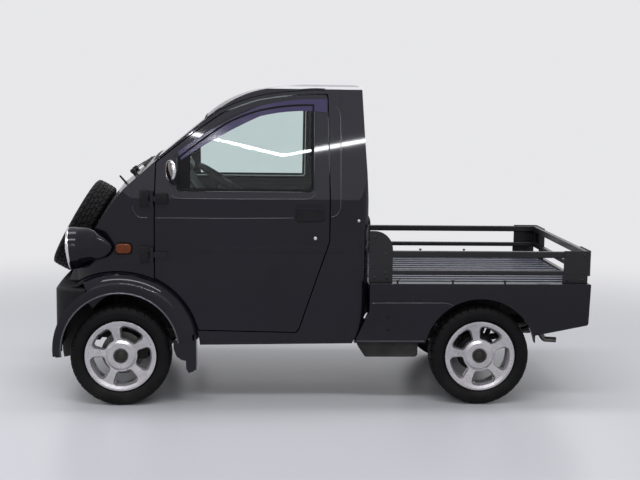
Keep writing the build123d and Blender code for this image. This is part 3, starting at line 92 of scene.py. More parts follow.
# %% Node helpers
def put(tree, kind, **settings):
    """Adds a node. Settings that name a socket fill it or link it, and the others are the node's own."""
    node = tree.nodes.new(f"ShaderNode{kind}")
    for label, value in settings.items():
        title = label.replace("_", " ")
        if hasattr(node, label):
            setattr(node, label, value)
        elif isinstance(value, bpy.types.NodeSocket):
            tree.links.new(value, node.inputs[title])
        else:
            node.inputs[title].default_value = value
    return node


def maths(tree, operation, first, second=0.0, clamp=False):
    """One sum on two sockets or numbers."""
    node = tree.nodes.new("ShaderNodeMath")
    node.operation, node.use_clamp = operation, clamp
    for number, value in enumerate((first, second)):
        if isinstance(value, bpy.types.NodeSocket):
            tree.links.new(value, node.inputs[number])
        else:
            node.inputs[number].default_value = value
    return node.outputs[0]


def mix_shaders(tree, share, under, over):
    """Mixes two shaders: under where the share is 0, over where it is 1."""
    mix = tree.nodes.new("ShaderNodeMixShader")
    for number, socket in enumerate((share, under.outputs[0], over.outputs[0])):
        tree.links.new(socket, mix.inputs[number])
    return mix.outputs[0]


print("node helpers", [helper.__name__ for helper in (put, maths, mix_shaders)])

# %% [markdown]
# ## Studio light
# A dark glossy body shows what is around it more than its own colour, so the light comes from large soft
# panels, as in a photo studio: a long one overhead for the shoulder lines, one on each side, one in front and one
# along the wall. Two thin tubes draw the bright bent line over the cab's glass. The world is pale, and paler
# still where the camera looks straight at it.

# %% Lights and world
scene = bpy.context.scene
scene.view_settings.view_transform = "Standard"


def soft_panel(name, place, target, size, watts, along=None):
    """A rectangular lamp that faces a target. Its first side lies along a given line, or else level."""
    data = bpy.data.lights.new(name, "AREA")
    data.shape = "RECTANGLE"
    data.size, data.size_y = size
    data.energy = watts
    data.color = (0.95, 0.96, 1.0)
    lamp = bpy.data.objects.new(name, data)
    lamp.location = place
    facing = (Vector(place) - Vector(target)).normalized()
    first = (Vector(along) if along else Vector((0, 0, 1)).cross(facing)).normalized()
    second = facing.cross(first).normalized()
    lamp.rotation_euler = Matrix((first, second, first.cross(second))).transposed().to_euler()
    lamp.visible_camera = False
    lamp.visible_transmission = False
    scene.collection.objects.link(lamp)
    return lamp


panels = (
    ("overhead_panel", (0, 0.0, 4.2), (0, 0, 0), (5.0, 0.9), 95),
    ("left_panel", (-0.4, -3.4, 4.6), (0, 0, 0.7), (5.0, 0.7), 120),
    ("right_panel", (1.0, 5.5, 3.6), (0, 0, 0.6), (5.0, 2.4), 45),
    ("front_panel", (-5.0, -1.0, 2.6), (0, 0, 0.8), (2.2, 2.0), 45),
    ("wall_panel", (-0.3, -8.5, 4.2), (0, 0, 0.9), (9.0, 2.4), 60),
    ("long_tube", (-0.875, -6.665, 3.4), (-0.3, -0.6, 1.0), (2.16, 0.035), 24, (0.766, -0.574, 0)),
    ("cross_tube", (0.594, -6.925, 3.4), (0.3, -0.6, 1.0), (1.43, 0.035), 16, (0.84, 0.533, 0)),
)
for row in panels:
    soft_panel(*row)


def lit_for_rays(tree, lit, seen):
    """Mixes two shaders: lit for the light on the object, seen for the camera and its reflections."""
    rays = put(tree, "LightPath").outputs
    mirrored = maths(tree, "MAXIMUM", rays["Is Glossy Ray"], rays["Is Transmission Ray"])
    return mix_shaders(tree, maths(tree, "MAXIMUM", rays["Is Camera Ray"], mirrored), lit, seen)


backdrop_colour = (0.80, 0.80, 0.82, 1)
world = bpy.data.worlds.new("studio")
scene.world = world
world.use_nodes = True
tree = world.node_tree
tree.nodes.clear()
room_glow = put(tree, "Background", Color=(0.80, 0.82, 0.86, 1), Strength=0.42)
backdrop_glow = put(tree, "Background", Color=backdrop_colour, Strength=1.0)
put(tree, "OutputWorld", Surface=lit_for_rays(tree, room_glow, backdrop_glow))
print("lamps", len(panels))

# %% [markdown]
# ## The floor
# A plain pale disc carries the truck's shadow. For the light that bounces onto the body it is an ordinary
# matt floor. What the camera sees of it far off, and what it sees through glass, takes the backdrop's glow, so
# that floor and wall run into one another without a horizon.

# %% Floor
floor_radius = 60
glow_from, glow_full = 2.0, 5.5
floor_mesh = bpy.data.meshes.new("floor")
shape = bmesh.new()
bmesh.ops.create_circle(shape, cap_ends=True, segments=128, radius=floor_radius)
shape.to_mesh(floor_mesh)
shape.free()
floor = bpy.data.objects.new("floor", floor_mesh)
scene.collection.objects.link(floor)
floor_material = bpy.data.materials.new("studio_floor")
floor_material.use_nodes = True
tree = floor_material.node_tree
matt = tree.nodes["Principled BSDF"]
matt.inputs["Base Color"].default_value = (0.56, 0.56, 0.58, 1)
matt.inputs["Roughness"].default_value = 0.35
floor_glow = put(tree, "Emission", Color=backdrop_colour)
rays = put(tree, "LightPath").outputs
distance = put(tree, "VectorMath", operation="LENGTH", Vector=put(tree, "NewGeometry").outputs["Position"])
far_off = put(tree, "MapRange", interpolation_type="SMOOTHSTEP", From_Min=glow_from, From_Max=glow_full,
              Value=distance.outputs["Value"])
seen_or_mirrored = maths(tree, "MAXIMUM", rays["Is Camera Ray"], rays["Is Glossy Ray"])
far_seen = maths(tree, "MULTIPLY", far_off.outputs["Result"], seen_or_mirrored)
glowing = maths(tree, "MAXIMUM", far_seen, rays["Is Transmission Ray"])
tree.links.new(mix_shaders(tree, glowing, matt, floor_glow), tree.nodes["Material Output"].inputs["Surface"])
floor.data.materials.append(floor_material)
print("floor glows from", glow_from, "to", glow_full, "m")

# %% [markdown]
# ## Effects that several finishes share
# Real paint, rubber and plastic are never one flat colour. Four small effects do most of the work: a mottle
# that drifts between two tones, edges that catch the light and wear first, dust that settles low down and on
# top, and a fine grain. Each is a node group, so that every finish can take it with its own values.

# %% The mottle
def new_effect(name, inputs, outputs):
    """An empty shader node group with named sockets: inputs as (name, kind, value), outputs as (name, kind)."""
    group = bpy.data.node_groups.new(name, "ShaderNodeTree")
    for label, kind, value in inputs:
        socket = group.interface.new_socket(label, in_out="INPUT", socket_type=f"NodeSocket{kind}")
        socket.default_value = value
    for label, kind in outputs:
        group.interface.new_socket(label, in_out="OUTPUT", socket_type=f"NodeSocket{kind}")
    return group, group.nodes.new("NodeGroupInput").outputs, group.nodes.new("NodeGroupOutput").inputs


def spread(tree, value, low, high):
    """A mask that is 0 below low and 1 above high."""
    node = tree.nodes.new("ShaderNodeMapRange")
    node.inputs["From Min"].default_value = low
    node.inputs["From Max"].default_value = high
    tree.links.new(value, node.inputs["Value"])
    return node.outputs["Result"]


def mix_colours(tree, mask, under, over):
    """Lays the colour over on the colour under where the mask is 1."""
    node = tree.nodes.new("ShaderNodeMix")
    node.data_type = "RGBA"
    tree.links.new(mask, node.inputs[0])
    for socket, colour in ((node.inputs[6], under), (node.inputs[7], over)):
        if isinstance(colour, bpy.types.NodeSocket):
            tree.links.new(colour, socket)
        else:
            socket.default_value = colour
    return node.outputs[2]


mottle, given, result = new_effect("mottle", (
    ("Tone", "Color", (0.5, 0.5, 0.5, 1)), ("Second Tone", "Color", (0.4, 0.4, 0.4, 1)),
    ("Scale", "Float", 6.0)), (("Color", "Color"),))
coordinates = put(mottle, "TexCoord").outputs["Object"]
clouds = put(mottle, "TexNoise", Vector=coordinates, Scale=given["Scale"], Detail=6.0, Roughness=0.62)
patches = spread(mottle, clouds.outputs["Fac"], 0.38, 0.64)
mottle.links.new(mix_colours(mottle, patches, given["Tone"], given["Second Tone"]), result["Color"])
print("mottle", len(mottle.nodes), "nodes")

# %% [markdown]
# ## Relief: grain and worn edges
# A pressed or moulded edge is always a little round, and there the paint thins first. The Bevel node rounds the
# shading of every edge without touching the mesh, and where its normal leaves the flat one, there is an edge.

# %% The relief
relief, given, result = new_effect("relief", (
    ("Grain Scale", "Float", 400.0), ("Grain Depth", "Float", 0.02), ("Edge Radius", "Float", 0.003)),
    (("Normal", "Vector"), ("Edge", "Float")))
rounded = put(relief, "Bevel", samples=4, Radius=given["Edge Radius"]).outputs["Normal"]
coordinates = put(relief, "TexCoord").outputs["Object"]
pores = put(relief, "TexNoise", Vector=coordinates, Scale=given["Grain Scale"], Detail=3.0)
bump = put(relief, "Bump", Height=pores.outputs["Fac"], Strength=given["Grain Depth"], Distance=0.002,
           Normal=rounded)
relief.links.new(bump.outputs["Normal"], result["Normal"])
flat = put(relief, "NewGeometry").outputs["Normal"]
turned_away = put(relief, "VectorMath", operation="DOT_PRODUCT")
relief.links.new(rounded, turned_away.inputs[0])
relief.links.new(flat, turned_away.inputs[1])
bent = maths(relief, "SUBTRACT", 1.0, turned_away.outputs["Value"], clamp=True)
chips = put(relief, "TexNoise", Vector=coordinates, Scale=60.0, Detail=4.0)
broken = maths(relief, "MULTIPLY", spread(relief, bent, 0.02, 0.16),
               spread(relief, chips.outputs["Fac"], 0.45, 0.7))
relief.links.new(broken, result["Edge"])
print("relief", len(relief.nodes), "nodes")

# %% [markdown]
# ## Dust
# Dust is thrown up from the road and settles on what faces up, so its mask comes from the height and from the
# surface's direction, broken up by a cloudy noise.

# %% The dust
dust, given, result = new_effect("dust", (("Reach", "Float", 0.5), ("Amount", "Float", 0.3)), (("Mask", "Float"),))
place = put(dust, "NewGeometry")
parts = put(dust, "SeparateXYZ", Vector=place.outputs["Position"])
low_down = maths(dust, "SUBTRACT", 1.0, maths(dust, "DIVIDE", parts.outputs["Z"], given["Reach"]), clamp=True)
facing = put(dust, "SeparateXYZ", Vector=place.outputs["Normal"])
on_top = spread(dust, facing.outputs["Z"], 0.5, 1.0)
cloud = put(dust, "TexNoise", Vector=put(dust, "TexCoord").outputs["Object"], Scale=9.0, Detail=7.0)
settled = maths(dust, "MULTIPLY", maths(dust, "MAXIMUM", low_down, maths(dust, "MULTIPLY", on_top, 0.45)),
                spread(dust, cloud.outputs["Fac"], 0.3, 0.75))
dust.links.new(maths(dust, "MULTIPLY", settled, given["Amount"], clamp=True), result["Mask"])
print("effects", [group.name for group in bpy.data.node_groups])

# %% [markdown]
# ## Finishes from one table
# Most of the truck's surfaces differ only in numbers: the two tones of the colour, how rough it is, whether
# it is metal, how thick a clear coat lies over it, how coarse its grain is and how much its edges have worn.
# So one function builds them all, and a table with a row for each finish gives the numbers.

# %% Painted, plastic and metal finishes
dust_colour = (0.16, 0.155, 0.145, 1)


def use_group(tree, group, **values):
    """Places an effect group in a tree with its own values, and gives its outputs."""
    return put(tree, "Group", node_tree=group, **values).outputs


def new_material(name):
    """A material with its tree and its main shader."""
    material = bpy.data.materials.new(name)
    material.use_nodes = True
    return material, material.node_tree, material.node_tree.nodes["Principled BSDF"]


def make_finish(name, tone, second, scale, rough, metal, gloss, coat, grain, edge, bare, dusty):
    """One finish from its row of the table."""
    material, tree, shader = new_material(name)
    colour = use_group(tree, mottle, Tone=(*tone, 1), Second_Tone=(*second, 1), Scale=scale)["Color"]
    surface = use_group(tree, relief, Grain_Scale=grain[0], Grain_Depth=grain[1], Edge_Radius=edge)
    if bare:
        colour = mix_colours(tree, surface["Edge"], colour, (*bare, 1))
    if dusty:
        settled = use_group(tree, dust, Reach=dusty[0], Amount=dusty[1])["Mask"]
        colour = mix_colours(tree, settled, colour, dust_colour)
    tree.links.new(colour, shader.inputs["Base Color"])
    tree.links.new(surface["Normal"], shader.inputs["Normal"])
    smears = put(tree, "TexNoise", Vector=put(tree, "TexCoord").outputs["Object"], Scale=scale * 3, Detail=5.0)
    roughness = put(tree, "MapRange", Value=smears.outputs["Fac"], To_Min=rough[0], To_Max=rough[1])
    tree.links.new(roughness.outputs["Result"], shader.inputs["Roughness"])
    shader.inputs["Metallic"].default_value = metal
    shader.inputs["Specular IOR Level"].default_value = gloss
    shader.inputs["Coat Weight"].default_value = coat[0]
    shader.inputs["Coat Roughness"].default_value = coat[1]
    return material


# name, tone, second tone, mottle scale, roughness, metallic, gloss, coat, grain, edge radius, bare colour, dust
finishes = (
    ("paint", (0.0048, 0.0046, 0.0090), (0.0066, 0.0061, 0.0118), 3, (0.26, 0.36), 0.20, 0.02, (0.46, 0.03),
     (900, 0.03), 0.004, (0.030, 0.030, 0.042), (0.5, 0.05)),
    ("black_trim", (0.009, 0.009, 0.010), (0.013, 0.013, 0.0145), 5, (0.42, 0.58), 0.0, 0.10, (0.0, 0.1),
     (700, 0.25), 0.004, (0.04, 0.04, 0.042), (0.4, 0.05)),
    ("guard_black", (0.007, 0.007, 0.0085), (0.010, 0.010, 0.0115), 8, (0.32, 0.45), 0.1, 0.25, (0.15, 0.15),
     (500, 0.12), 0.003, (0.07, 0.07, 0.075), (0.2, 0.1)),
    ("deck_paint", (0.05, 0.054, 0.080), (0.036, 0.039, 0.058), 14, (0.4, 0.6), 0.15, 0.35, (0.15, 0.2), (300, 0.2),
     0.003, (0.14, 0.14, 0.15), (0.7, 0.25)),
    ("chrome", (0.66, 0.66, 0.68), (0.55, 0.55, 0.58), 20, (0.05, 0.14), 1.0, 0.5, (0.0, 0.1), (300, 0.01),
     0.002, None, None),
    ("amber", (0.13, 0.026, 0.002), (0.09, 0.017, 0.001), 30, (0.12, 0.2), 0.0, 0.1, (0.3, 0.05), (200, 0.05),
     0.003, None, None),
    ("red_lens", (0.30, 0.008, 0.008), (0.22, 0.006, 0.006), 30, (0.12, 0.2), 0.0, 0.3, (0.8, 0.05), (200, 0.05),
     0.003, None, None),
    ("tyre", (0.0035, 0.0035, 0.0039), (0.0055, 0.0055, 0.0058), 22, (0.42, 0.62), 0.0, 0.10, (0.0, 0.1), (600, 0.35),
     0.002, None, (0.25, 0.08)),
    ("alloy", (0.50, 0.48, 0.50), (0.40, 0.385, 0.40), 16, (0.22, 0.36), 0.70, 0.5, (0.3, 0.1), (1200, 0.05),
     0.002, (0.75, 0.75, 0.76), None),
    # A paint much lighter than the body's, for the pressed lines and arch lips: a painted highlight along them.
    ("painted_highlight_bead", (0.060, 0.058, 0.075), (0.045, 0.043, 0.058), 6, (0.18, 0.28), 0.6, 0.5, (1.0, 0.05), (900, 0.02),
     0.001, None, None),
    ("steel_wheel", (0.03, 0.03, 0.034), (0.04, 0.04, 0.044), 12, (0.35, 0.5), 0.3, 0.3, (0.2, 0.2), (600, 0.1),
     0.003, (0.1, 0.1, 0.1), (0.3, 0.1)),
    ("chassis", (0.008, 0.008, 0.0084), (0.014, 0.013, 0.0125), 10, (0.5, 0.75), 0.1, 0.25, (0.0, 0.1), (250, 0.4),
     0.004, (0.05, 0.045, 0.04), (0.7, 0.35)),
    ("steel", (0.16, 0.155, 0.15), (0.09, 0.085, 0.08), 12, (0.35, 0.6), 0.9, 0.5, (0.0, 0.1), (300, 0.25),
     0.003, (0.4, 0.4, 0.4), (0.7, 0.3)),
    ("interior", (0.013, 0.013, 0.014), (0.018, 0.018, 0.019), 9, (0.55, 0.7), 0.0, 0.1, (0.0, 0.1), (800, 0.12),
     0.004, None, None),
    ("seat_cloth", (0.045, 0.045, 0.055), (0.06, 0.06, 0.07), 40, (0.8, 0.95), 0.0, 0.2, (0.0, 0.1), (500, 0.5),
     0.004, None, None),
    ("plate_white", (0.62, 0.62, 0.60), (0.56, 0.56, 0.54), 9, (0.35, 0.45), 0.0, 0.5, (0.3, 0.1), (400, 0.05),
     0.002, None, (0.8, 0.2)),
    ("rubber", (0.005, 0.005, 0.0054), (0.008, 0.008, 0.0084), 15, (0.45, 0.6), 0.0, 0.08, (0.0, 0.1), (500, 0.3),
     0.002, None, None),
)
materials = {row[0]: make_finish(*row) for row in finishes}
print("finishes", len(materials))

# %% [markdown]
# ## Glass, visor and lamp lens
# Clear pieces let light through. A path tracer without caustics would leave the cabin black behind them, so
# for shadow rays alone the glass turns into a plain tinted filter.

# %% Clear finishes
def make_clear(name, tint, rough, through, bend, shadow_tint, flute_scale=0.0):
    """A clear finish: tint, roughness range, share of light that passes, IOR, the tint of its shadow, flutes."""
    material, tree, shader = new_material(name)
    coordinates = put(tree, "TexCoord").outputs["Object"]
    smears = put(tree, "TexNoise", Vector=coordinates, Scale=7.0, Detail=6.0)
    roughness = put(tree, "MapRange", Value=smears.outputs["Fac"], From_Min=0.4, From_Max=0.8, To_Min=rough[0],
                    To_Max=rough[1])
    tree.links.new(roughness.outputs["Result"], shader.inputs["Roughness"])
    thick, thin = (*tint, 1), (*(part * 0.94 for part in tint), 1)
    tree.links.new(mix_colours(tree, smears.outputs["Fac"], thick, thin), shader.inputs["Base Color"])
    shader.inputs["Transmission Weight"].default_value = through
    shader.inputs["IOR"].default_value = bend
    if flute_scale:
        flutes = put(tree, "TexWave", Vector=coordinates, Scale=flute_scale, bands_direction="Y")
        bump = put(tree, "Bump", Height=flutes.outputs["Fac"], Strength=0.5, Distance=0.003)
        tree.links.new(bump.outputs["Normal"], shader.inputs["Normal"])
    filter_shader = put(tree, "BsdfTransparent", Color=(*shadow_tint, 1))
    mixed = mix_shaders(tree, put(tree, "LightPath").outputs["Is Shadow Ray"], shader, filter_shader)
    tree.links.new(mixed, tree.nodes["Material Output"].inputs["Surface"])
    return material


clear_finishes = (
    ("glass", (0.80, 0.88, 0.87), (0.0, 0.006), 1.0, 1.25, (0.75, 0.82, 0.80)),
    ("visor_tint", (0.040, 0.030, 0.090), (0.05, 0.16), 0.12, 1.3, (0.2, 0.16, 0.35)),
    ("lens", (0.92, 0.94, 0.95), (0.0, 0.02), 1.0, 1.45, (0.85, 0.85, 0.85), 30.0),
)
materials.update({row[0]: make_clear(*row) for row in clear_finishes})
print("clear finishes", len(clear_finishes))

# %% [markdown]
# ## Dressing the frame
# The record says which finish each node of the frame takes, so the nodes are dressed from it.

# %% Materials on the frame
slot_of = {part["node"]: part["material_slot"] for part in frame["record"]["subparts"]}
for name, node in nodes.items():
    node.data.materials.clear()
    node.data.materials.append(materials[slot_of[name]])
print("dressed", len(slot_of))

# %% [markdown]
# ## From a mesh to a piece
# Every added piece is a mesh made in code. One call turns it into a piece: it gets its finish, its smooth faces
# and the body that carries it, so that it moves with its door or its wheel in every pose.

# %% Stations, sides and pieces
axle_front, axle_rear = -0.9905, 0.8495
sides = (("left", -1), ("right", 1))


def back(x):
    """A station given in millimetres behind the front axle, in the truck's frame."""
    return axle_front + x / 1000


def keep_piece(name, shape, finish, body, angle=35):
    """Turns a bmesh into a piece with its finish, its smooth faces and the body that carries it."""
    bmesh.ops.recalc_face_normals(shape, faces=shape.faces)
    mesh = bpy.data.meshes.new(name)
    shape.to_mesh(mesh)
    shape.free()
    mesh.shade_smooth()
    mesh.set_sharp_from_angle(angle=math.radians(angle))
    mesh.materials.append(materials[finish])
    piece = bpy.data.objects.new(name, mesh)
    scene.collection.objects.link(piece)
    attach(piece, body)
    return piece


def frame_along(axis):
    """Two directions square to an axis and to each other."""
    axis = Vector(axis).normalized()
    helper = Vector((0, 0, 1)) if abs(axis.z) < 0.9 else Vector((1, 0, 0))
    first = axis.cross(helper).normalized()
    return first, axis.cross(first).normalized()


# %% [markdown]
# ## Tyres
# A tyre is a lathe form with a pattern cut into it, so it is made as a grid: one direction runs over the
# section from bead to bead, the other round the wheel. The tread's long grooves are in the section itself. Its
# cross grooves come from pushing every eighth column in, a little further round for each row, so they slant.

# %% Tyres
tyre_steps = 296
groove = 0.0065
# half section: millimetres out from the centre plane, radius, and whether a cross groove cuts the row
tyre_rows = (
    (0, 256.0, "rib"), (7, 255.9, "rib"), (8.2, 248.6, ""), (13.8, 248.6, ""), (15, 255.8, "rib"),
    (32, 255.4, "rib"), (33.2, 248.4, ""), (38.8, 248.4, ""), (40, 255.0, "shoulder"), (52, 254.2, "shoulder"),
    (60, 252.0, "shoulder"), (66, 248.2, "shoulder"), (70, 242.6, "shoulder"), (71.4, 238.6, ""),
    (72.6, 237.4, "tick"), (73.8, 231.0, "tick"), (74.6, 230.2, ""), (75.3, 222.0, ""), (75.4, 213.0, ""),
    (74.4, 204.5, ""), (71.6, 197.0, ""), (69.8, 195.6, ""), (66.5, 190.0, ""), (62.0, 186.0, ""),
    (57.5, 183.6, ""), (54.0, 181.4, ""), (53.6, 168.0, ""), (44.0, 168.0, ""), (46.0, 186.0, ""),
    (60.0, 212.0, ""), (52.0, 238.0, ""), (0, 240.5, ""))


def make_tyre(name, body, node, centre, outward, width_share, radius_share, phase):
    """A treaded tyre that stands for its node. Its half section is mirrored for the inner side."""
    centre, outward = Vector(centre), Vector(outward).normalized()
    first, second = frame_along(outward)
    mirrored = [(-out, radius, kind) for out, radius, kind in tyre_rows[-2:0:-1]]
    section = list(tyre_rows) + mirrored
    shape = bmesh.new()
    rings = []
    for out, radius, kind in section:
        ring = []
        for step in range(tyre_steps):
            column = step + round(out / 9) + phase
            reach = radius / 1000
            if kind == "rib" and column % 8 == 0 or kind == "shoulder" and column % 8 == 4:
                reach -= groove
            side_out = out / 1000 + (0.0006 if kind == "tick" and step % 2 else 0) * (1 if out > 0 else -1)
            angle = 2 * math.pi * step / tyre_steps
            spoke = first * math.cos(angle) + second * math.sin(angle)
            ring.append(shape.verts.new(centre + outward * side_out * width_share + spoke * reach * radius_share))
        rings.append(ring)
    for ring, following in zip(rings, rings[1:] + rings[:1]):
        for step in range(tyre_steps):
            after = (step + 1) % tyre_steps
            shape.faces.new((ring[step], ring[after], following[after], following[step]))
    tyre = keep_piece(name, shape, "tyre", body, angle=28)
    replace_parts(tyre, node)
    return tyre


wheels = (("front_left", axle_front, -1, 0.546), ("front_right", axle_front, 1, 0.546),
          ("rear_left", axle_rear, -1, 0.536), ("rear_right", axle_rear, 1, 0.536))
axle_height = 0.256
for number, (name, axle_x, side, wheel_y) in enumerate(wheels):
    make_tyre(f"tread_{name}", f"wheel_{name}", f"tyre_{name}", (axle_x, side * wheel_y, axle_height),
              (0, side, 0), 1.0, 1.0, number)
spare_centre = Vector((back(-256), 0, 0.855))
spare_lean = math.radians(28.7)
spare_out = Vector((-math.cos(spare_lean), 0, math.sin(spare_lean)))
make_tyre("tread_spare", "body", "spare_tyre", spare_centre, spare_out, 0.8, 1.02, 5)
print("tyre faces", len(tyre_rows) * 2 * tyre_steps)

# %% [markdown]
# ## Turned, swept and landed
# Most small parts of a truck come off a lathe or out of a die. A turned form takes an axis and a profile, a swept
# one a path and a section. Where a part lies on a panel, a ray finds the panel's skin, so its height isn't guessed.

# %% Turned and swept forms
def skin_of(*names):
    """A search tree over the faces of some nodes."""
    corners, faces = [], []
    for name in names:
        first = len(corners)
        corners += [vertex.co.copy() for vertex in nodes[name].data.vertices]
        faces += [[first + index for index in face.vertices] for face in nodes[name].data.polygons]
    return BVHTree.FromPolygons(corners, faces)


def land(skin, start, direction):
    """Where a ray first meets a skin."""
    return skin.ray_cast(Vector(start), Vector(direction).normalized())[0]


def turn(shape, centre, axis, profile, steps=48, closed=False):
    """Adds a turned form: profile is a list of (distance along the axis, radius)."""
    centre, axis = Vector(centre), Vector(axis).normalized()
    first, second = frame_along(axis)
    rings = []
    for along, radius in profile:
        middle = centre + axis * along
        if radius <= 0:
            rings.append([shape.verts.new(middle)] * steps)
            continue
        angles = [2 * math.pi * step / steps for step in range(steps)]
        rings.append([shape.verts.new(middle + first * radius * math.cos(a) + second * radius * math.sin(a))
                      for a in angles])
    pairs = list(zip(rings, rings[1:])) + ([(rings[-1], rings[0])] if closed else [])
    for ring, following in pairs:
        for step in range(steps):
            after = (step + 1) % steps
            corners = [ring[step], ring[after], following[after], following[step]]
            corners = list(dict.fromkeys(corners))
            if len(corners) > 2:
                shape.faces.new(corners)


def sweep(shape, path, section, closed=False, up=(0, 0, 1)):
    """Adds a form drawn along a path. The section is a list of (across, up), up is one way or one a point."""
    path = [Vector(point) for point in path]
    ups = up if isinstance(up, list) else [up] * len(path)
    rings = []
    for number, point in enumerate(path):
        before = path[number - 1] if closed or number else point
        after = path[(number + 1) % len(path)] if closed or number < len(path) - 1 else point
        along = (after - before).normalized()
        across = along.cross(Vector(ups[number])).normalized()
        over = across.cross(along).normalized()
        rings.append([shape.verts.new(point + across * a + over * b) for a, b in section])
    count = len(section)
    for number in range(len(rings) if closed else len(rings) - 1):
        ring, following = rings[number], rings[(number + 1) % len(rings)]
        for corner in range(count):
            after = (corner + 1) % count
            shape.faces.new((ring[corner], ring[after], following[after], following[corner]))
    if not closed:
        shape.faces.new(rings[0][::-1])
        shape.faces.new(rings[-1])


print("the deck lies at", round(land(skin_of("bed_deck"), (0.8, 0, 2), (0, 0, -1)).z, 3), "m")

# %% [markdown]
# ## Wheel trim
# The cast wheels have fine ribs along each spoke and a dark cap in the hub. The ribs are laid on the spoke's own
# face: a ray finds the face at each radius, so they follow its dish.

# %% Hub caps and spoke ribs
materials["cap_metal"] = make_finish("cap_metal", (0.016, 0.0135, 0.011), (0.010, 0.009, 0.008), 30, (0.3, 0.45),
                                     0.5, 0.4, (0.3, 0.1), (900, 0.05), 0.002, None, None)
cap_profile = ((0.006, 0.0), (0.006, 0.016), (0.0035, 0.0225), (0.007, 0.025), (0.008, 0.029), (0.0065, 0.033),
               (0.0, 0.0345), (-0.004, 0.0345), (-0.004, 0.0))
spoke_turn, window_count = 101, 5
rib_offsets = (-0.0075, 0.0, 0.0075)
rim_half_width, face_dish, ring_rise, cap_recess = 0.064, 0.016, 0.008, 0.004
hub_face = rim_half_width - face_dish + ring_rise - cap_recess
for name, axle_x, side, wheel_y in wheels:
    centre = Vector((axle_x, side * wheel_y, axle_height))
    outward = Vector((0, side, 0))
    cap = bmesh.new()
    turn(cap, centre + outward * (hub_face + cap_recess), outward, cap_profile, 40)
    keep_piece(f"hub_cap_{name}", cap, "cap_metal", f"wheel_{name}")
    skin = skin_of(f"rim_{name}")
    ribs = bmesh.new()
    for spoke in range(window_count):
        angle = math.radians(spoke_turn + spoke * 360 / window_count)
        along = Vector((math.cos(angle), 0, math.sin(angle)))
        across = Vector((-math.sin(angle), 0, math.cos(angle)))
        for offset in rib_offsets:
            path = []
            for station in range(12):
                reach = 0.076 + 0.0068 * station
                start = centre + along * reach + across * offset * (0.5 + reach * 5) + outward * 0.2
                met = land(skin, start, -outward)
                if met is not None and abs((met - centre).dot(outward)) > 0.03:
                    path.append(met)
            if len(path) > 2:
                sweep(ribs, path, ((-0.0013, -0.0008), (-0.0008, 0.0009), (0.0008, 0.0009), (0.0013, -0.0008)),
                      up=outward)
    keep_piece(f"spoke_ribs_{name}", ribs, "alloy", f"wheel_{name}", angle=50)
print("ribs on each wheel", window_count * len(rib_offsets))

# %% [markdown]
# ## Window rubbers
# Each pane sits in a black rubber that laps its edge. The pane's own outline gives the path: seen square on,
# it is convex, so the hull of its corners is its edge.

# %% The outline of a pane
def hull_of(points):
    """The convex outline of flat points, anticlockwise."""
    points = sorted(set((round(a, 5), round(b, 5)) for a, b in points))

    def half(run):
        line = []
        for point in run:
            while len(line) > 1 and ((line[-1][0] - line[-2][0]) * (point[1] - line[-2][1])
                                     - (line[-1][1] - line[-2][1]) * (point[0] - line[-2][0])) <= 0:
                line.pop()
            line.append(point)
        return line[:-1]

    return half(points) + half(points[::-1])


def spaced(outline, step):
    """A closed outline with points no further apart than a step."""
    dense = []
    for (a, b), (c, d) in zip(outline, outline[1:] + outline[:1]):
        parts = max(1, math.ceil(math.hypot(c - a, d - b) / step))
        dense += [(a + (c - a) * part / parts, b + (d - b) * part / parts) for part in range(parts)]
    return dense


def drawn_in(outline, depth):
    """An anticlockwise outline moved inward by a depth, corner by corner."""
    moved = []
    for number, point in enumerate(outline):
        before, after = outline[number - 1], outline[(number + 1) % len(outline)]
        normals = []
        for start, end in ((before, point), (point, after)):
            length = math.hypot(end[0] - start[0], end[1] - start[1])
            normals.append((-(end[1] - start[1]) / length, (end[0] - start[0]) / length))
        sum_x, sum_y = normals[0][0] + normals[1][0], normals[0][1] + normals[1][1]
        share = 2 / max(0.5, sum_x * sum_x + sum_y * sum_y)
        moved.append((point[0] + sum_x * share * depth, point[1] + sum_y * share * depth))
    return moved


screen_corners = [(vertex.co.y, vertex.co.z) for vertex in nodes["windscreen"].data.vertices]
print("windscreen outline of", len(hull_of(screen_corners)), "corners")

# %% [markdown]
# The flat outline is laid back on the pane's outer skin with rays, and the rubber is a narrow band drawn round
# inside it. Each pane leans its own way, so it brings its own right, up and outward directions.

# %% Window rubbers
def pane_edge(node, right, up, out, step=0.02):
    """A pane's edge in its own plane and a way to lay flat points on its outer skin."""
    right, up, out = Vector(right), Vector(up), Vector(out)
    flat = [(vertex.co.dot(right), vertex.co.dot(up)) for vertex in nodes[node].data.vertices]
    edge = spaced(hull_of(flat), step)
    skin = skin_of(node)

    def lay(points):
        """Each flat point's place on the pane. One that its ray misses takes the nearest place."""
        laid = []
        for a, b in points:
            met = land(skin, right * a + up * b + out * 3, -out)
            if met is None:
                met = skin.find_nearest(right * a + up * b + out * (laid[-1].dot(out) if laid else 0.3))[0]
            laid.append(met)
        return laid

    return edge, lay


def make_rubber(name, body, node, right, up, out, lap, proud):
    """A rubber band inside a pane's edge, from the pane's skin up to a little proud of the panel."""
    edge, lay = pane_edge(node, right, up, out)
    out = Vector(out)
    columns = [(0.0012, 0.0), (0.0012, proud * 0.8), (lap * 0.25, proud), (lap * 0.7, proud * 0.7),
               (lap, 0.0008), (lap, -0.0002)]
    shape = bmesh.new()
    rings = []
    laid_edge = lay(drawn_in(edge, lap * 0.5))
    for depth, height in columns:
        flat_points = drawn_in(edge, depth)
        ring = []
        for (a, b), middle in zip(flat_points, laid_edge):
            place = Vector(right) * a + Vector(up) * b + out * middle.dot(out)
            ring.append(shape.verts.new(place + out * height))
        rings.append(ring)
    for ring, following in zip(rings, rings[1:] + rings[:1]):
        for step in range(len(edge)):
            after = (step + 1) % len(edge)
            shape.faces.new((ring[step], ring[after], following[after], following[step]))
    return keep_piece(name, shape, "rubber", body, angle=40)


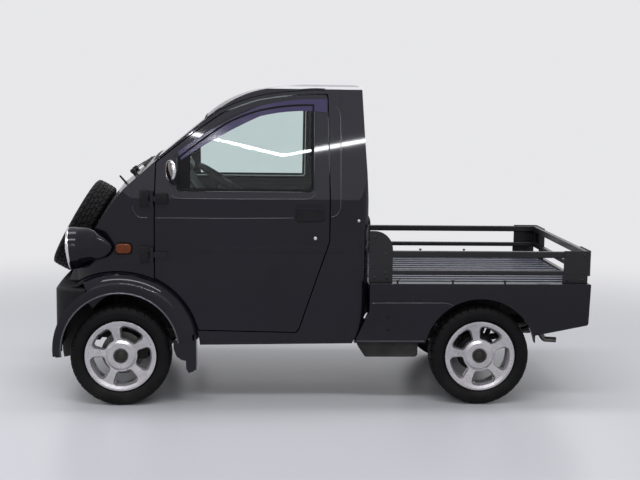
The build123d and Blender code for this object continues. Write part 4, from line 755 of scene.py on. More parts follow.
screen_run = Vector((0.291, 0, 0.239)).normalized()
screen_out = Vector((-screen_run.z, 0, screen_run.x))
make_rubber("windscreen_rubber", "body", "windscreen", (0, 1, 0), screen_run, screen_out, 0.022, 0.0065)
wall_low, wall_high = Vector((0.2519, 0, 1.14)), Vector((0.2244, 0, 1.47))
wall_run = (wall_high - wall_low).normalized()
wall_out = Vector((wall_run.z, 0, -wall_run.x))
make_rubber("rear_window_rubber", "body", "rear_window", (0, 1, 0), wall_run, wall_out, 0.02, 0.007)
flank_lean = math.atan2(0.1, 0.552)
for name, side in sides:
    rise = Vector((0, -side * math.sin(flank_lean), math.cos(flank_lean)))
    out = Vector((0, side * math.cos(flank_lean), math.sin(flank_lean)))
    make_rubber(f"door_rubber_{name}", f"door_{name}", f"door_glass_{name}", (1, 0, 0), rise, out, 0.016, 0.0062)
print("door panes lean", round(math.degrees(flank_lean), 1), "degrees")

# %% [markdown]
# ## Blocks and draped pads
# Plastic covers are blocks with soft edges, because no moulded edge is sharp. Thin trim is a grid of points
# pushed onto a skin until they land. A second grid just under that skin closes it to a thin solid.

# %% Blocks and draped pads
def block(shape, centre, size, axes=((1, 0, 0), (0, 1, 0), (0, 0, 1)), bevel=0.003):
    """Adds a block with softened edges, turned to three given directions."""
    made = bmesh.ops.create_cube(shape, size=1)["verts"]
    turned = Matrix([Vector(axis) * length for axis, length in zip(axes, size)]).transposed()
    for vertex in made:
        vertex.co = Vector(centre) + turned @ vertex.co
    if bevel:
        edges = list(dict.fromkeys(edge for vertex in made for edge in vertex.link_edges))
        bmesh.ops.bevel(shape, geom=edges, offset=bevel, segments=2, affect="EDGES", profile=0.6)


def shell(shape, top, low):
    """Closes two grids of corners, one over the other, into a thin solid."""
    rows, columns = len(top), len(top[0])
    for grid in (top, low):
        for r in range(rows - 1):
            for c in range(columns - 1):
                shape.faces.new((grid[r][c], grid[r][c + 1], grid[r + 1][c + 1], grid[r + 1][c]))
    rim = [(0, c) for c in range(columns)] + [(r, columns - 1) for r in range(1, rows)]
    rim += [(rows - 1, c) for c in range(columns - 2, -1, -1)] + [(r, 0) for r in range(rows - 2, 0, -1)]
    for (r, c), (s, d) in zip(rim, rim[1:] + rim[:1]):
        shape.faces.new((top[r][c], low[r][c], low[s][d], top[s][d]))


def quad_rows(a, b, c, d, rows, columns):
    """Points spread over four corners: a to b along the foot, d to c along the head."""
    a, b, c, d = (Vector(corner) for corner in (a, b, c, d))
    return [[a.lerp(b, k / columns).lerp(d.lerp(c, k / columns), r / rows) for k in range(columns + 1)]
            for r in range(rows + 1)]


def drape(shape, skin, rows, inward, rise, sink=0.001):
    """A thin pad that lies on a skin: rows of points outside it are pushed inward until they land."""
    inward = Vector(inward).normalized()
    top, low = [], []
    for r, row in enumerate(rows):
        edges = [r in (0, len(rows) - 1) or c in (0, len(row) - 1) for c in range(len(row))]
        landed = [land(skin, point, inward) or skin.find_nearest(point)[0] for point in row]
        top.append([shape.verts.new(at - inward * rise * (0.4 if edge else 1))
                    for at, edge in zip(landed, edges)])
        low.append([shape.verts.new(at + inward * sink) for at in landed])
    shell(shape, top, low)


unit_grid = quad_rows((0, 0, 0), (1, 0, 0), (1, 1, 0), (0, 1, 0), 4, 6)
print("a grid of 4 by 6 fields has", sum(len(row) for row in unit_grid), "points")

# %% [markdown]
# ## Fittings on the doors
# The door hangs on two outside hinges with black covers. The front of its window is blanked by a black panel,
# where the drop glass couldn't go down past the hinge pillar. A bright lock sits under the handle.

# %% Hinge covers, window blanks and locks
hinge_heights = (1.060, 0.778)
cover_middle, cover_face = 0.6045, 0.6195
for name, side in sides:
    out = Vector((0, side, 0))
    fixed, moving = bmesh.new(), bmesh.new()
    for height in hinge_heights:
        block(fixed, (back(123), side * cover_middle, height), (0.046, 0.030, 0.088), bevel=0.008)
        for rib in (-0.013, 0.0, 0.013):
            block(fixed, (back(123) + rib, side * cover_face, height), (0.005, 0.003, 0.070), bevel=0.001)
    block(moving, (back(211), side * cover_middle, hinge_heights[0]), (0.062, 0.030, 0.056), bevel=0.009)
    for screw_x in (195, 226):
        turn(moving, (back(screw_x), side * cover_face, hinge_heights[0]), out,
             ((-0.001, 0), (-0.001, 0.007), (0.001, 0.0065), (0.002, 0.004), (0.0012, 0.002), (0.0012, 0)), 20)
    keep_piece(f"hinge_covers_{name}", fixed, "black_trim", "body")
    keep_piece(f"hinge_arm_covers_{name}", moving, "black_trim", f"door_{name}")
    blank = bmesh.new()
    pane = skin_of(f"door_glass_{name}")
    corners = [(back(x), side, z) for x, z in ((286, 1.101), (350, 1.101), (350, 1.306), (286, 1.258))]
    drape(blank, pane, quad_rows(*corners, 12, 6), (0, -side, 0), 0.0035)
    keep_piece(f"window_blank_{name}", blank, "rubber", f"door_{name}")
    lock = bmesh.new()
    turn(lock, (back(982), side * 0.6033, 0.864), out,
         ((-0.001, 0), (-0.001, 0.0085), (0.0008, 0.0085), (0.0014, 0.0075), (0.0010, 0.0040), (0.0010, 0)), 24)
    block(lock, (back(982), side * 0.6046, 0.864), (0.0012, 0.0012, 0.006), bevel=0)
    keep_piece(f"door_lock_{name}", lock, "chrome", f"door_{name}")
print("hinge covers at", hinge_heights)

# %% [markdown]
# ## Drip rails
# A folded lip runs over each door and down the windscreen pillar, so that rain doesn't fall into the cab. It
# follows the door's edge, two fingers' width above it, and lies on the skin there.

# %% Drip rails
def smooth_path(points, parts=6):
    """A path through all the points, rounded between them."""
    points = [Vector(point) for point in points]
    ends = [points[0] * 2 - points[1]] + points + [points[-1] * 2 - points[-2]]
    path = []
    for a, b, c, d in zip(ends, ends[1:], ends[2:], ends[3:]):
        for part in range(parts):
            t = part / parts
            path.append(0.5 * (2 * b + (c - a) * t + (2 * a - 5 * b + 4 * c - d) * t * t
                               + (3 * b - a - 3 * c + d) * t ** 3))
    return path + [points[-1]]


door_edge = ((1026, 1582), (960, 1586), (870, 1586), (780, 1573), (687, 1556), (598, 1527), (540, 1502),
             (498, 1482), (420, 1428), (343, 1369), (260, 1301), (190, 1242))
rail_rise = 0.030
rail_section = ((-0.005, -0.002), (-0.005, 0.003), (-0.0025, 0.006), (0.0025, 0.006), (0.005, 0.003),
                (0.005, -0.002))
for name, side in sides:
    door_skin = skin_of(f"door_{name}")
    cab_skin = skin_of(f"cab_side_{name}", "roof_panel")
    on_door = []
    for x, z in door_edge:
        drops = (door_skin.ray_cast(Vector((back(x), side * 2, (z - drop) / 1000)), Vector((0, -side, 0)))
                 for drop in range(0, 80, 4))
        on_door.append(next(found[:2] for found in drops if found[0] is not None))
    path, ups = [], []
    for number, (place, normal) in enumerate(on_door):
        before, after = on_door[max(0, number - 1)][0], on_door[min(len(on_door) - 1, number + 1)][0]
        lift = (after - before).cross(normal).normalized()
        lift = lift if lift.z > 0 else -lift
        met, skin_normal = cab_skin.find_nearest(place + lift * rail_rise)[:2]
        path.append(met)
        ups.append(skin_normal if skin_normal.y * side > 0 else -skin_normal)
    rounded = smooth_path(path, 4)
    rounded_ups = [ups[min(len(ups) - 1, round(number / 4))] for number in range(len(rounded))]
    rail = bmesh.new()
    sweep(rail, rounded, rail_section, up=rounded_ups)
    keep_piece(f"drip_rail_{name}", rail, "paint", "body", angle=50)
print("drip rail from", tuple(round(part, 3) for part in path[0]))

# %% [markdown]
# ## Headlamps
# A headlamp is a clear moulded front, a polished bowl and a bulb in the middle. The construction has one solid
# glass block there, so a thin dome with the bowl and the bulb behind it stands for it.

# %% Headlamps
pod_front, pod_tail = Vector((back(-258), 0, 0.790)), Vector((back(-63), 0, 0.808))
pod_line = (pod_tail - pod_front).normalized()
dome_radius, dome_edge, dome_rise = 0.0955, -0.0125, 0.0185
dome = [(dome_edge - dome_rise * (1 - (r / 8) ** 2), dome_radius * r / 8) for r in range(9)]
dome_inside = [(along + 0.0028, radius * 0.97) for along, radius in dome]
lens_profile = dome + [(dome_edge + 0.004, dome_radius)] + dome_inside[::-1]
bowl = [(0.0100 - 0.0205 * (r / 8) ** 2, 0.0935 * r / 8) for r in range(9)]
bowl_profile = bowl + [(-0.0085, 0.0950), (0.0115, 0.0950), (0.0115, 0)]
glass_shape, bowl_shape, bulb_shape = bmesh.new(), bmesh.new(), bmesh.new()
for name, side in sides:
    centre = pod_front + Vector((0, side * 0.480, 0))
    turn(glass_shape, centre, pod_line, lens_profile, 64)
    turn(bowl_shape, centre, pod_line, bowl_profile, 64)
    turn(bulb_shape, centre, pod_line, ((0.010, 0), (0.010, 0.016), (0.004, 0.016), (0.002, 0.009),
                                        (-0.006, 0.009), (-0.010, 0.006), (-0.0115, 0)), 24)
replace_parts(keep_piece("headlamp_glass", glass_shape, "lens", "body", angle=60), "headlamp_lenses")
keep_piece("headlamp_bowls", bowl_shape, "chrome", "body", angle=60)
keep_piece("headlamp_bulbs", bulb_shape, "chrome", "body", angle=50)
print("headlamp radius", dome_radius)

# %% [markdown]
# ## Tail lamps and plates
# Each tail lamp has three fields under one frame: red, amber and clear, with upright flutes that spread the
# light. A pad with a pushed-out front makes them. The number plates are blank sheets with two screws.

# %% Tail lamps
def pad(shape, centre, across, up, size, depth, relief=lambda u, v: 0.0, counts=(12, 10)):
    """A closed pad: a flat back at a depth, and a front pushed out by relief(u, v), both from -1 to 1."""
    centre, across, up = Vector(centre), Vector(across).normalized(), Vector(up).normalized()
    out = across.cross(up)
    top, low = [], []
    for r in range(counts[1] + 1):
        v = 2 * r / counts[1] - 1
        places = [(2 * c / counts[0] - 1, centre + across * (2 * c / counts[0] - 1) * size[0] / 2
                   + up * v * size[1] / 2) for c in range(counts[0] + 1)]
        top.append([shape.verts.new(place + out * relief(u, v)) for u, place in places])
        low.append([shape.verts.new(place - out * depth) for u, place in places])
    shell(shape, top, low)


def flutes(count):
    """A front that falls and rises along its width, and rounds off at its edges."""
    def relief(u, v):
        edge = max(abs(u) ** 10, abs(v) ** 10)
        return 0.0016 * abs(math.cos(u * math.pi * count / 2)) * (1 - edge) - 0.004 * edge
    return relief


lamp_fields = (("red_lens", 0.0275, 0.055, 7), ("amber", -0.0125, 0.025, 3), ("lens", -0.0400, 0.024, 3))
housings = bmesh.new()
field_shapes = {row[0]: bmesh.new() for row in lamp_fields}
for name, side in sides:
    middle = Vector((back(2397), side * 0.515, 0.500))
    block(housings, middle, (0.0195, 0.1095, 0.0695), bevel=0.004)
    for finish, offset, width, count in lamp_fields:
        centre = middle + Vector((0.0075, side * offset, 0))
        pad(field_shapes[finish], centre, (0, 1, 0), (0, 0, 1), (width - 0.003, 0.062), 0.004, flutes(count),
            (count * 8, 8))
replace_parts(keep_piece("tail_lamp_housings", housings, "black_trim", "body"), "tail_lamps")
for finish, field in field_shapes.items():
    keep_piece(f"tail_lamp_{finish}", field, finish, "body", angle=60)
print("lamp fields", list(field_shapes))

# %% [markdown]
# A plate's rim is pressed into the sheet itself: a low bead that runs round it, a few millimetres in.

# %% Plate rims and screws
plate_rims, plate_screws = bmesh.new(), bmesh.new()
for plate_x, height, out in ((back(2405.3), 0.530, 1), (back(-348.3), 0.455, -1)):
    corner = 0.008
    loop = [(s * (0.1615 - corner) + corner * math.cos(a), t * (0.079 - corner) + corner * math.sin(a))
            for s, t, turn_from in ((1, 1, 0), (-1, 1, 90), (-1, -1, 180), (1, -1, 270))
            for a in (math.radians(turn_from + step * 22.5) for step in range(5))]
    sweep(plate_rims, [(plate_x, y, height + z) for y, z in loop],
          ((-0.0022, -0.0005), (-0.0012, 0.0009), (0.0012, 0.0009), (0.0022, -0.0005)), closed=True, up=(out, 0, 0))
    for y in (-0.105, 0.105):
        turn(plate_screws, (plate_x, y, height + 0.060), (out, 0, 0),
             ((-0.0005, 0), (-0.0005, 0.006), (0.0006, 0.0055), (0.0010, 0.003), (0.0010, 0)), 16)
keep_piece("plate_rims", plate_rims, "plate_white", "body", angle=60)
keep_piece("plate_screws", plate_screws, "steel", "body")
print("plates have rims of", len(loop), "points")

# %% [markdown]
# ## Guards, deck and bed edge
# The guards are bolted to the bed with hexagon bolts, the deck sheet is screwed to the beams below it, and a
# rolled bead stiffens the outer edge of each bed side: it is the light line along the bed.

# %% Bolts, deck screws and beads
def round_section(radius, count=10):
    """A round section for a sweep."""
    return [(radius * math.cos(2 * math.pi * step / count), radius * math.sin(2 * math.pi * step / count))
            for step in range(count)]


def bolt(shape, centre, out, radius=0.005, height=0.0045):
    """A washer with a six-sided head on it."""
    turn(shape, centre, out, ((-0.0005, 0), (-0.0005, radius * 1.7), (0.0012, radius * 1.7),
                              (0.0016, radius * 1.5), (0.0016, 0)), 16)
    turn(shape, centre, out, ((0.001, 0), (0.001, radius), (height * 0.8, radius), (height, radius * 0.8),
                              (height, 0)), 6)


guard_bolts, deck_screws, beads = bmesh.new(), bmesh.new(), bmesh.new()
guard_points = ((1286, 0.662), (1350, 0.662), (1286, 0.872), (1346, 0.783), (1346, 0.688), (2284, 0.655),
                (2364, 0.655), (2284, 0.783), (2372, 0.783), (2284, 0.690), (2372, 0.690))
for name, side in sides:
    for x, z in guard_points:
        bolt(guard_bolts, (back(x), side * 0.592, z), (0, side, 0), 0.0045, 0.005)
    for y, z in ((0.430, 0.783), (0.560, 0.783), (0.430, 0.690), (0.560, 0.690)):
        turn(guard_bolts, (back(2407) - 0.0004, side * y, z), (1, 0, 0),
             ((-0.001, 0), (-0.001, 0.008), (0.0, 0.008), (0.0003, 0.006), (0.0003, 0)), 16)
    bead_path = [(back(x), side * 0.6195, 0.6335) for x in range(1268, 2400, 94)]
    sweep(beads, bead_path, round_section(0.0032, 8))
rib_pitch = 2 * 0.5817 / 15
for x in (1310, 1640, 2010, 2330):
    for column in range(-6, 7, 2):
        turn(deck_screws, (back(x), column * rib_pitch, 0.631), (0, 0, 1),
             ((-0.001, 0), (-0.001, 0.0075), (0.0006, 0.0072), (0.002, 0.004), (0.0022, 0)), 16)
keep_piece("guard_bolts", guard_bolts, "guard_black", "body")
keep_piece("deck_screws", deck_screws, "steel", "body")
keep_piece("bed_edge_beads", beads, "paint", "body", angle=70)
print("guard bolts", 2 * len(guard_points))

# %% [markdown]
# ## Pressed lines and arch lips
# Rolled lips and pressed lines are what catch the light on dark paint. Each one is laid as a slim bead on the sheet
# below it, in a paint much lighter than the body's, which is a painted highlight along the line. A line that crosses
# a door gap is cut there, so that its middle swings with the door.

# %% Pressed lines and arch lips
def traced(skin, points, side, rise=0.0006):
    """Places on the skin at given x and z in mm, found from outside. Points off the skin are left out."""
    dense = []
    for (x0, z0), (x1, z1) in zip(points, points[1:]):
        steps = max(2, round(math.hypot(x1 - x0, z1 - z0) / 12))
        dense += [(x0 + (x1 - x0) * k / steps, z0 + (z1 - z0) * k / steps) for k in range(steps)]
    dense.append(points[-1])
    met = [land(skin, (back(x), side * 0.9, z / 1000), (0, -side, 0)) for x, z in dense]
    return [place + Vector((0, side * rise, 0)) for place in met if place is not None and abs(place.y) > 0.45]


moulding_front = ((62, 1021), (66, 1004), (74, 986), (86, 971), (102, 964), (140, 962))
moulding_door = ((178, 962), (500, 962), (800, 965), (1024, 969))
pillar_line = ((1050, 971), (1072, 974), (1090, 983), (1102, 998), (1108, 1020), (1109, 1208), (1108, 1360),
               (1107, 1459), (1104, 1490), (1096, 1512), (1080, 1528))
belt_line = ((261, 1078), (268, 1068), (281, 1062), (351, 1060), (651, 1060), (930, 1062), (960, 1067),
             (977, 1080), (981, 1094))
bed_lines = (((1200, 536), (1417, 537), (1640, 538), (1668, 534), (1690, 524)), ((1200, 339), (1640, 339)))
arch_height, lip_radius = 0.290, 0.2960
bed_skin = skin_of("bed_sides")
crease = ((-0.0020, -0.0010), (-0.0012, 0.0010), (0.0, 0.0017), (0.0012, 0.0010), (0.0020, -0.0010))
for name, side in sides:
    out = (0, side, 0)
    door, fixed = bmesh.new(), bmesh.new()
    door_skin = skin_of(f"door_{name}")
    fixed_skin = skin_of(f"cab_side_{name}", "nose_panel")
    for line in (moulding_door, belt_line):
        sweep(door, traced(door_skin, line, side), crease, up=out)
    for line in (moulding_front, pillar_line):
        sweep(fixed, traced(fixed_skin, line, side), crease, up=out)
    turned = [math.radians(8 + 178 * step / 60) for step in range(61)]
    lip = [(axle_front + math.cos(a) * lip_radius, side * 0.6455, arch_height + math.sin(a) * lip_radius)
           for a in turned]
    sweep(fixed, lip, round_section(0.0048, 10), up=out)
    # Door and cab lines take a paint much lighter than the body's: a painted highlight along each line.
    keep_piece(f"door_lines_{name}", door, "painted_highlight_bead", f"door_{name}", angle=70)
    for line in bed_lines:
        sweep(fixed, traced(bed_skin, line, side), crease, up=out)
    keep_piece(f"cab_lines_{name}", fixed, "painted_highlight_bead", "body", angle=70)
print("arch lip radius", lip_radius)

# %% [markdown]
# ## Lamp pod tails and fender bands
# The lamp pods taper off along the cab's side. Three lines give that form: its upper edge, its lower edge and the
# crest between them. A narrow band carries each fender's face on, round to the bumper's corner.

# %% Lamp pod tails and fender bands
tail_lines = (((-225, 500, 899), (-171, 535, 901), (-142, 562, 894), (-117, 592, 884), (-90, 597, 867),
               (-68, 598, 849), (-48, 598, 831), (-40, 598, 815)),
              ((-225, 500, 700), (-171, 535, 725), (-142, 562, 738), (-117, 592, 747), (-90, 597, 756),
               (-68, 598, 768), (-48, 598, 789), (-40, 598, 807)),
              ((-225, 586, 800), (-171, 596, 813), (-142, 606, 816), (-117, 612, 816), (-90, 612, 812),
               (-68, 609, 810), (-48, 604, 810), (-40, 600, 811)))
for name, side in sides:
    upper, lower, crest = (smooth_path([(back(x), side * y / 1000, z / 1000) for x, y, z in line], 4)
                           for line in tail_lines)
    tail = bmesh.new()
    top, low = [], []
    for above, below, ridge in zip(upper, lower, crest):
        row, under = [], []
        for step in range(13):
            share = (1 - math.cos(math.pi * step / 12)) / 2
            place = above.lerp(below, share)
            place.y += (ridge.y - above.y) * math.sin(math.pi * step / 12)
            row.append(tail.verts.new(place))
            under.append(tail.verts.new(above.lerp(below, share) - Vector((0, side * 0.012, 0))))
        top.append(row)
        low.append(under)
    shell(tail, top, low)
    keep_piece(f"lamp_pod_tail_{name}", tail, "paint", "body", angle=60)
    band = bmesh.new()
    top, low = [], []
    for step in range(33):
        turned = math.radians(112 + 73 * step / 32)
        spoke = Vector((math.cos(turned), 0, math.sin(turned)))
        wide = 0.052 - 0.010 * step / 32
        row = []
        for share in (0, 0.15, 0.5, 0.85, 1):
            proud = 0.6468 + 0.0035 * (1 - (2 * share - 1) ** 4)
            row.append(Vector((axle_front, side * proud, arch_height)) + spoke * (0.2935 + wide * share))
        top.append([band.verts.new(place) for place in row])
        low.append([band.verts.new(Vector((place.x, side * 0.642, place.z))) for place in row])
    shell(band, top, low)
    keep_piece(f"fender_band_{name}", band, "paint", "body", angle=50)
print("pod tail points", len(upper))

# %% [markdown]
# ## Gaskets, screws and valves
# The flashers sit in rubber, a bright screw holds the trim behind each door, and every rim has its valve. They
# are small, but they are what tells the eye how big the truck is.

# %% Gaskets, screws and valves
gaskets, dots = bmesh.new(), bmesh.new()
for name, side in sides:
    skin = skin_of(f"cab_side_{name}", "nose_panel")
    ring = []
    for step in range(40):
        angle = 2 * math.pi * step / 40
        c, s = math.cos(angle), math.sin(angle)
        reach = (abs(c) ** 5 + abs(s) ** 5) ** -0.2
        ring.append((back(18 + c * reach * 41.5), side * 0.601, (806 + s * reach * 27.5) / 1000))
    sweep(gaskets, ring, round_section(0.0036, 8), closed=True, up=(0, side, 0))
    spot = land(skin, (back(1202), side * 0.9, 0.954), (0, -side, 0))
    if spot is not None:
        turn(dots, spot, (0, side, 0), ((-0.001, 0), (-0.001, 0.0075), (0.001, 0.0072), (0.0025, 0.0045), (0.003, 0)),
             20)
keep_piece("flasher_gaskets", gaskets, "rubber", "body", angle=70)
keep_piece("pillar_screws", dots, "alloy", "body", angle=50)
for name, axle_x, side, wheel_y in wheels:
    valve = bmesh.new()
    turned = math.radians(spoke_turn + 180 / window_count)
    spoke = Vector((math.cos(turned), 0, math.sin(turned)))
    foot = Vector((axle_x, side * (wheel_y + 0.050), axle_height)) + spoke * 0.150
    turn(valve, foot, (-0.2 * math.cos(turned), side, -0.2 * math.sin(turned)),
         ((-0.012, 0), (-0.012, 0.006), (0.0, 0.0045), (0.012, 0.004), (0.014, 0.0045), (0.020, 0.004), (0.021, 0)),
         16)
    keep_piece(f"valve_{name}", valve, "rubber", f"wheel_{name}", angle=50)
print("valves", len(wheels))

# %% [markdown]
# ## Springs and front brakes
# Seen from low down there is more than two rails. A coil spring stands round each front strut on a plate, and a
# disc turns with each wheel between the pads of a calliper, which steers with the knuckle. The spring is a wire
# swept along a helix about the kingpin's line.

# %% Springs and front brakes
for name, side in sides:
    low = Vector((axle_front, side * 0.470, 0.178))
    king = (Vector((axle_front, side * 0.396, 0.640)) - low).normalized()
    first, second = frame_along(king)
    coil = bmesh.new()
    wire = [low + king * (0.345 + 0.105 * step / 160)
            + (first * math.cos(step * 0.2) + second * math.sin(step * 0.2)) * 0.0345 for step in range(161)]
    sweep(coil, wire, round_section(0.0045, 8), up=king)
    turn(coil, low + king * 0.338, king, ((0, 0.0112), (0, 0.040), (0.003, 0.0415), (0.006, 0.040),
                                          (0.006, 0.0112)), 36, closed=True)
    keep_piece(f"strut_spring_{name}", coil, "black_trim", "body", angle=60)
    disc = bmesh.new()
    hub = Vector((axle_front, side * 0.512, axle_height))
    turn(disc, hub, (0, side, 0), ((0, 0.0215), (0, 0.050), (0, 0.108), (0.0055, 0.108), (0.0055, 0.0215)), 60,
         closed=True)
    keep_piece(f"brake_disc_{name}", disc, "steel", f"wheel_front_{name}")
    calliper = bmesh.new()
    for y, thick in ((0.503, 0.010), (0.527, 0.010)):
        block(calliper, (axle_front + 0.094, side * y, axle_height + 0.01), (0.044, thick, 0.084), bevel=0.003)
    block(calliper, (axle_front + 0.121, side * 0.515, axle_height + 0.01), (0.010, 0.034, 0.078), bevel=0.003)
    block(calliper, (axle_front + 0.086, side * 0.487, axle_height + 0.01), (0.030, 0.030, 0.040), bevel=0.003)
    block(calliper, (axle_front + 0.050, side * 0.478, axle_height + 0.01), (0.070, 0.012, 0.030), bevel=0.003)
    keep_piece(f"brake_calliper_{name}", calliper, "chassis", f"knuckle_{name}")
print("spring wire points", len(wire))

# %% [markdown]
# ## Shaft, dampers and pipes
# A shaft runs to the rear axle, two dampers stand beside the springs, and a pipe leads from the engine to the
# silencer. Long pipes are rounded paths with a small round section, and clips hold the thin ones to the rail.

# %% Shaft, dampers and pipes
driveline = bmesh.new()
turn(driveline, (back(1255), 0, 0.322), (back(1650) - back(1255), 0, -0.066),
     ((0, 0), (0, 0.034), (0.02, 0.034), (0.03, 0.020), (0.375, 0.020), (0.385, 0.030), (0.400, 0.030),
      (0.400, 0)), 24)
for side in (-1, 1):
    damper = Vector((back(1885), side * 0.398, 0.262))
    up_to = Vector((back(1990), side * 0.398, 0.512)) - damper
    length = up_to.length
    turn(driveline, damper, up_to, ((0, 0), (0, 0.013), (length * 0.6, 0.013), (length * 0.6, 0.007),
                                    (length, 0.007), (length, 0)), 18)
    block(driveline, (back(1862), side * 0.398, 0.258), (0.062, 0.020, 0.026), bevel=0.003)
keep_piece("driveline", driveline, "chassis", "body")
pipe = bmesh.new()
pipe_points = ((1143, -0.205, 0.345), (1172, -0.205, 0.300), (1200, -0.203, 0.284), (1262, -0.200, 0.284),
               (1400, -0.195, 0.300), (1560, -0.190, 0.325), (1700, -0.184, 0.346), (1830, -0.180, 0.352),
               (1988, -0.180, 0.352))
sweep(pipe, smooth_path([(back(x), y, z) for x, y, z in pipe_points], 6), round_section(0.0145, 14))
keep_piece("exhaust_front_pipe", pipe, "steel", "body", angle=60)
pipes = bmesh.new()
for number, y in enumerate((-0.3145, -0.3195)):
    sweep(pipes, smooth_path([(back(-150), y, 0.33 + number * 0.01), (back(600), y, 0.33 + number * 0.01),
                              (back(1290), y, 0.33 + number * 0.01)], 3), round_section(0.0025, 6))
for x in range(0, 1300, 260):
    block(pipes, (back(x), -0.316, 0.335), (0.014, 0.012, 0.026), bevel=0.002)
keep_piece("brake_and_fuel_pipes", pipes, "steel", "body")
print("shaft length", round((back(1650) - back(1255)), 3))

# %% [markdown]
# ## Wheel house linings and rear drums
# Behind each front wheel a crescent lining closes the house towards the engine, and a plate on each side closes
# the gap between the cab and the bed. The rear wheels have drums, each turned in one piece with its rim.

# %% Wheel house linings and rear drums
wings = bmesh.new()
house = Vector((axle_front, 0, axle_height))
lining_reaches = (0.222, 0.280, 0.338)
for side in (-1, 1):
    top, low = [], []
    for turned in range(24, 196, 4):
        a = math.radians(turned)
        for grid, y in ((top, 0.3155), (low, 0.3185)):
            grid.append([wings.verts.new(house + Vector((math.cos(a) * reach, side * y, math.sin(a) * reach)))
                         for reach in lining_reaches])
    shell(wings, top, low)
for side in (-1, 1):
    block(wings, (back(1192), side * 0.500, 0.470), (0.070, 0.020, 0.300), bevel=0.004)
keep_piece("inner_wings", wings, "chassis", "body", angle=40)
for name, side in sides:
    drum = bmesh.new()
    hub = Vector((axle_rear, side * 0.470, axle_height))
    turn(drum, hub, (0, side, 0), ((0, 0.040), (0, 0.100), (0.006, 0.104), (0.010, 0.098), (0.040, 0.096),
                                   (0.046, 0.090), (0.048, 0.040)), 56, closed=True)
    keep_piece(f"brake_drum_{name}", drum, "chassis", f"wheel_rear_{name}", angle=40)
print("lining reaches from", lining_reaches[0], "to", lining_reaches[-1])

# %% [markdown]
# ## Wipers and cowl posts
# Two arms park along the foot of the windscreen, each on a spindle in the cowl and with a rubber blade that
# touches the glass. Rays find the cowl under every station, so that the arms follow its slope.

# %% Wipers and cowl posts
cowl_skin = skin_of("nose_panel", "windscreen", "roof_panel")


def on_cowl(x, y, rise=0.0):
    """A place on the cowl or the glass, x mm behind the front axle, raised square to it."""
    places = [land(cowl_skin, (back(x + step), y, 1.9), (0, 0, -1)) for step in (-6, 6)]
    run = (places[1] - places[0]).normalized()
    return (places[0] + places[1]) / 2 + run.cross(Vector((0, 1, 0))).normalized() * rise


arms, blades = bmesh.new(), bmesh.new()
for start_y, pivot_x in ((-0.330, 54), (0.060, 30)):
    foot, top = on_cowl(pivot_x, start_y, -0.006), on_cowl(pivot_x, start_y, 0.034)
    length = (top - foot).length
    turn(arms, foot, top - foot, ((0, 0), (0, 0.012), (length * 0.45, 0.0105), (length * 0.5, 0.0135),
                                  (length * 0.85, 0.0135), (length, 0.009), (length, 0)), 24)
    arm = [on_cowl(pivot_x, start_y, 0.026), on_cowl(64, start_y + 0.03, 0.020), on_cowl(88, start_y + 0.10, 0.013),
           on_cowl(108, start_y + 0.18, 0.012)]
    sweep(arms, smooth_path(arm, 4), ((-0.006, -0.002), (-0.005, 0.002), (0.005, 0.002), (0.006, -0.002)),
          up=screen_out)
    blade = [on_cowl(100 + 14 * t, start_y + 0.01 + 0.34 * t, 0) for t in (0, 0.2, 0.4, 0.6, 0.8, 1.0)]
    sweep(arms, [place + screen_out * 0.0105 for place in blade],
          ((-0.004, -0.002), (-0.003, 0.0015), (0.003, 0.0015), (0.004, -0.002)), up=screen_out)
    sweep(blades, [place + screen_out * 0.0045 for place in blade],
          ((-0.0012, -0.0045), (-0.003, 0.0045), (0.003, 0.0045), (0.0012, -0.0045)), up=screen_out)
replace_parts(keep_piece("wiper_arms", arms, "black_trim", "body", angle=45), "wipers")
keep_piece("wiper_blades", blades, "rubber", "body")
jets = bmesh.new()
for y in (-0.330, 0.330):
    foot, top = on_cowl(3, y, -0.004), on_cowl(3, y, 0.050)
    turn(jets, foot, top - foot, ((0, 0), (0, 0.010), (0.006, 0.009), (0.008, 0.0055), (0.048, 0.005),
                                  (0.052, 0.0035), (0.054, 0)), 20)
keep_piece("cowl_posts", jets, "black_trim", "body", angle=45)
print("blade length", round((blade[-1] - blade[0]).length, 3))

# %% [markdown]
# ## The spare wheel's clamp
# One big nut on a dished washer holds the spare to its carrier, and four bolts show in the rim round it.

# %% The spare wheel's clamp
clamp = bmesh.new()
turn(clamp, spare_centre, spare_out, ((0.0235, 0), (0.0235, 0.046), (0.027, 0.046), (0.031, 0.020), (0.031, 0)), 40)
turn(clamp, spare_centre, spare_out, ((0.030, 0), (0.030, 0.015), (0.043, 0.015), (0.046, 0.012), (0.046, 0)), 6)
first, second = frame_along(spare_out)
for step in range(4):
    angle = math.radians(45 + 90 * step)
    bolt(clamp, spare_centre + (first * math.cos(angle) + second * math.sin(angle)) * 0.062 + spare_out * 0.024,
         spare_out, 0.007, 0.007)
keep_piece("spare_clamp", clamp, "steel", "body")
print("spare leans back", round(math.degrees(spare_lean), 1), "degrees")

# %% [markdown]
# ## Mirrors
# A round mirror is a turned cup with a bright rim, a glass that faces back and a stalk in a rubber foot. The
# cup's plating is duller than the rim's, so it has its own finish. Cup and rim stand for the frame's plain
# mirror, and ride on the door.

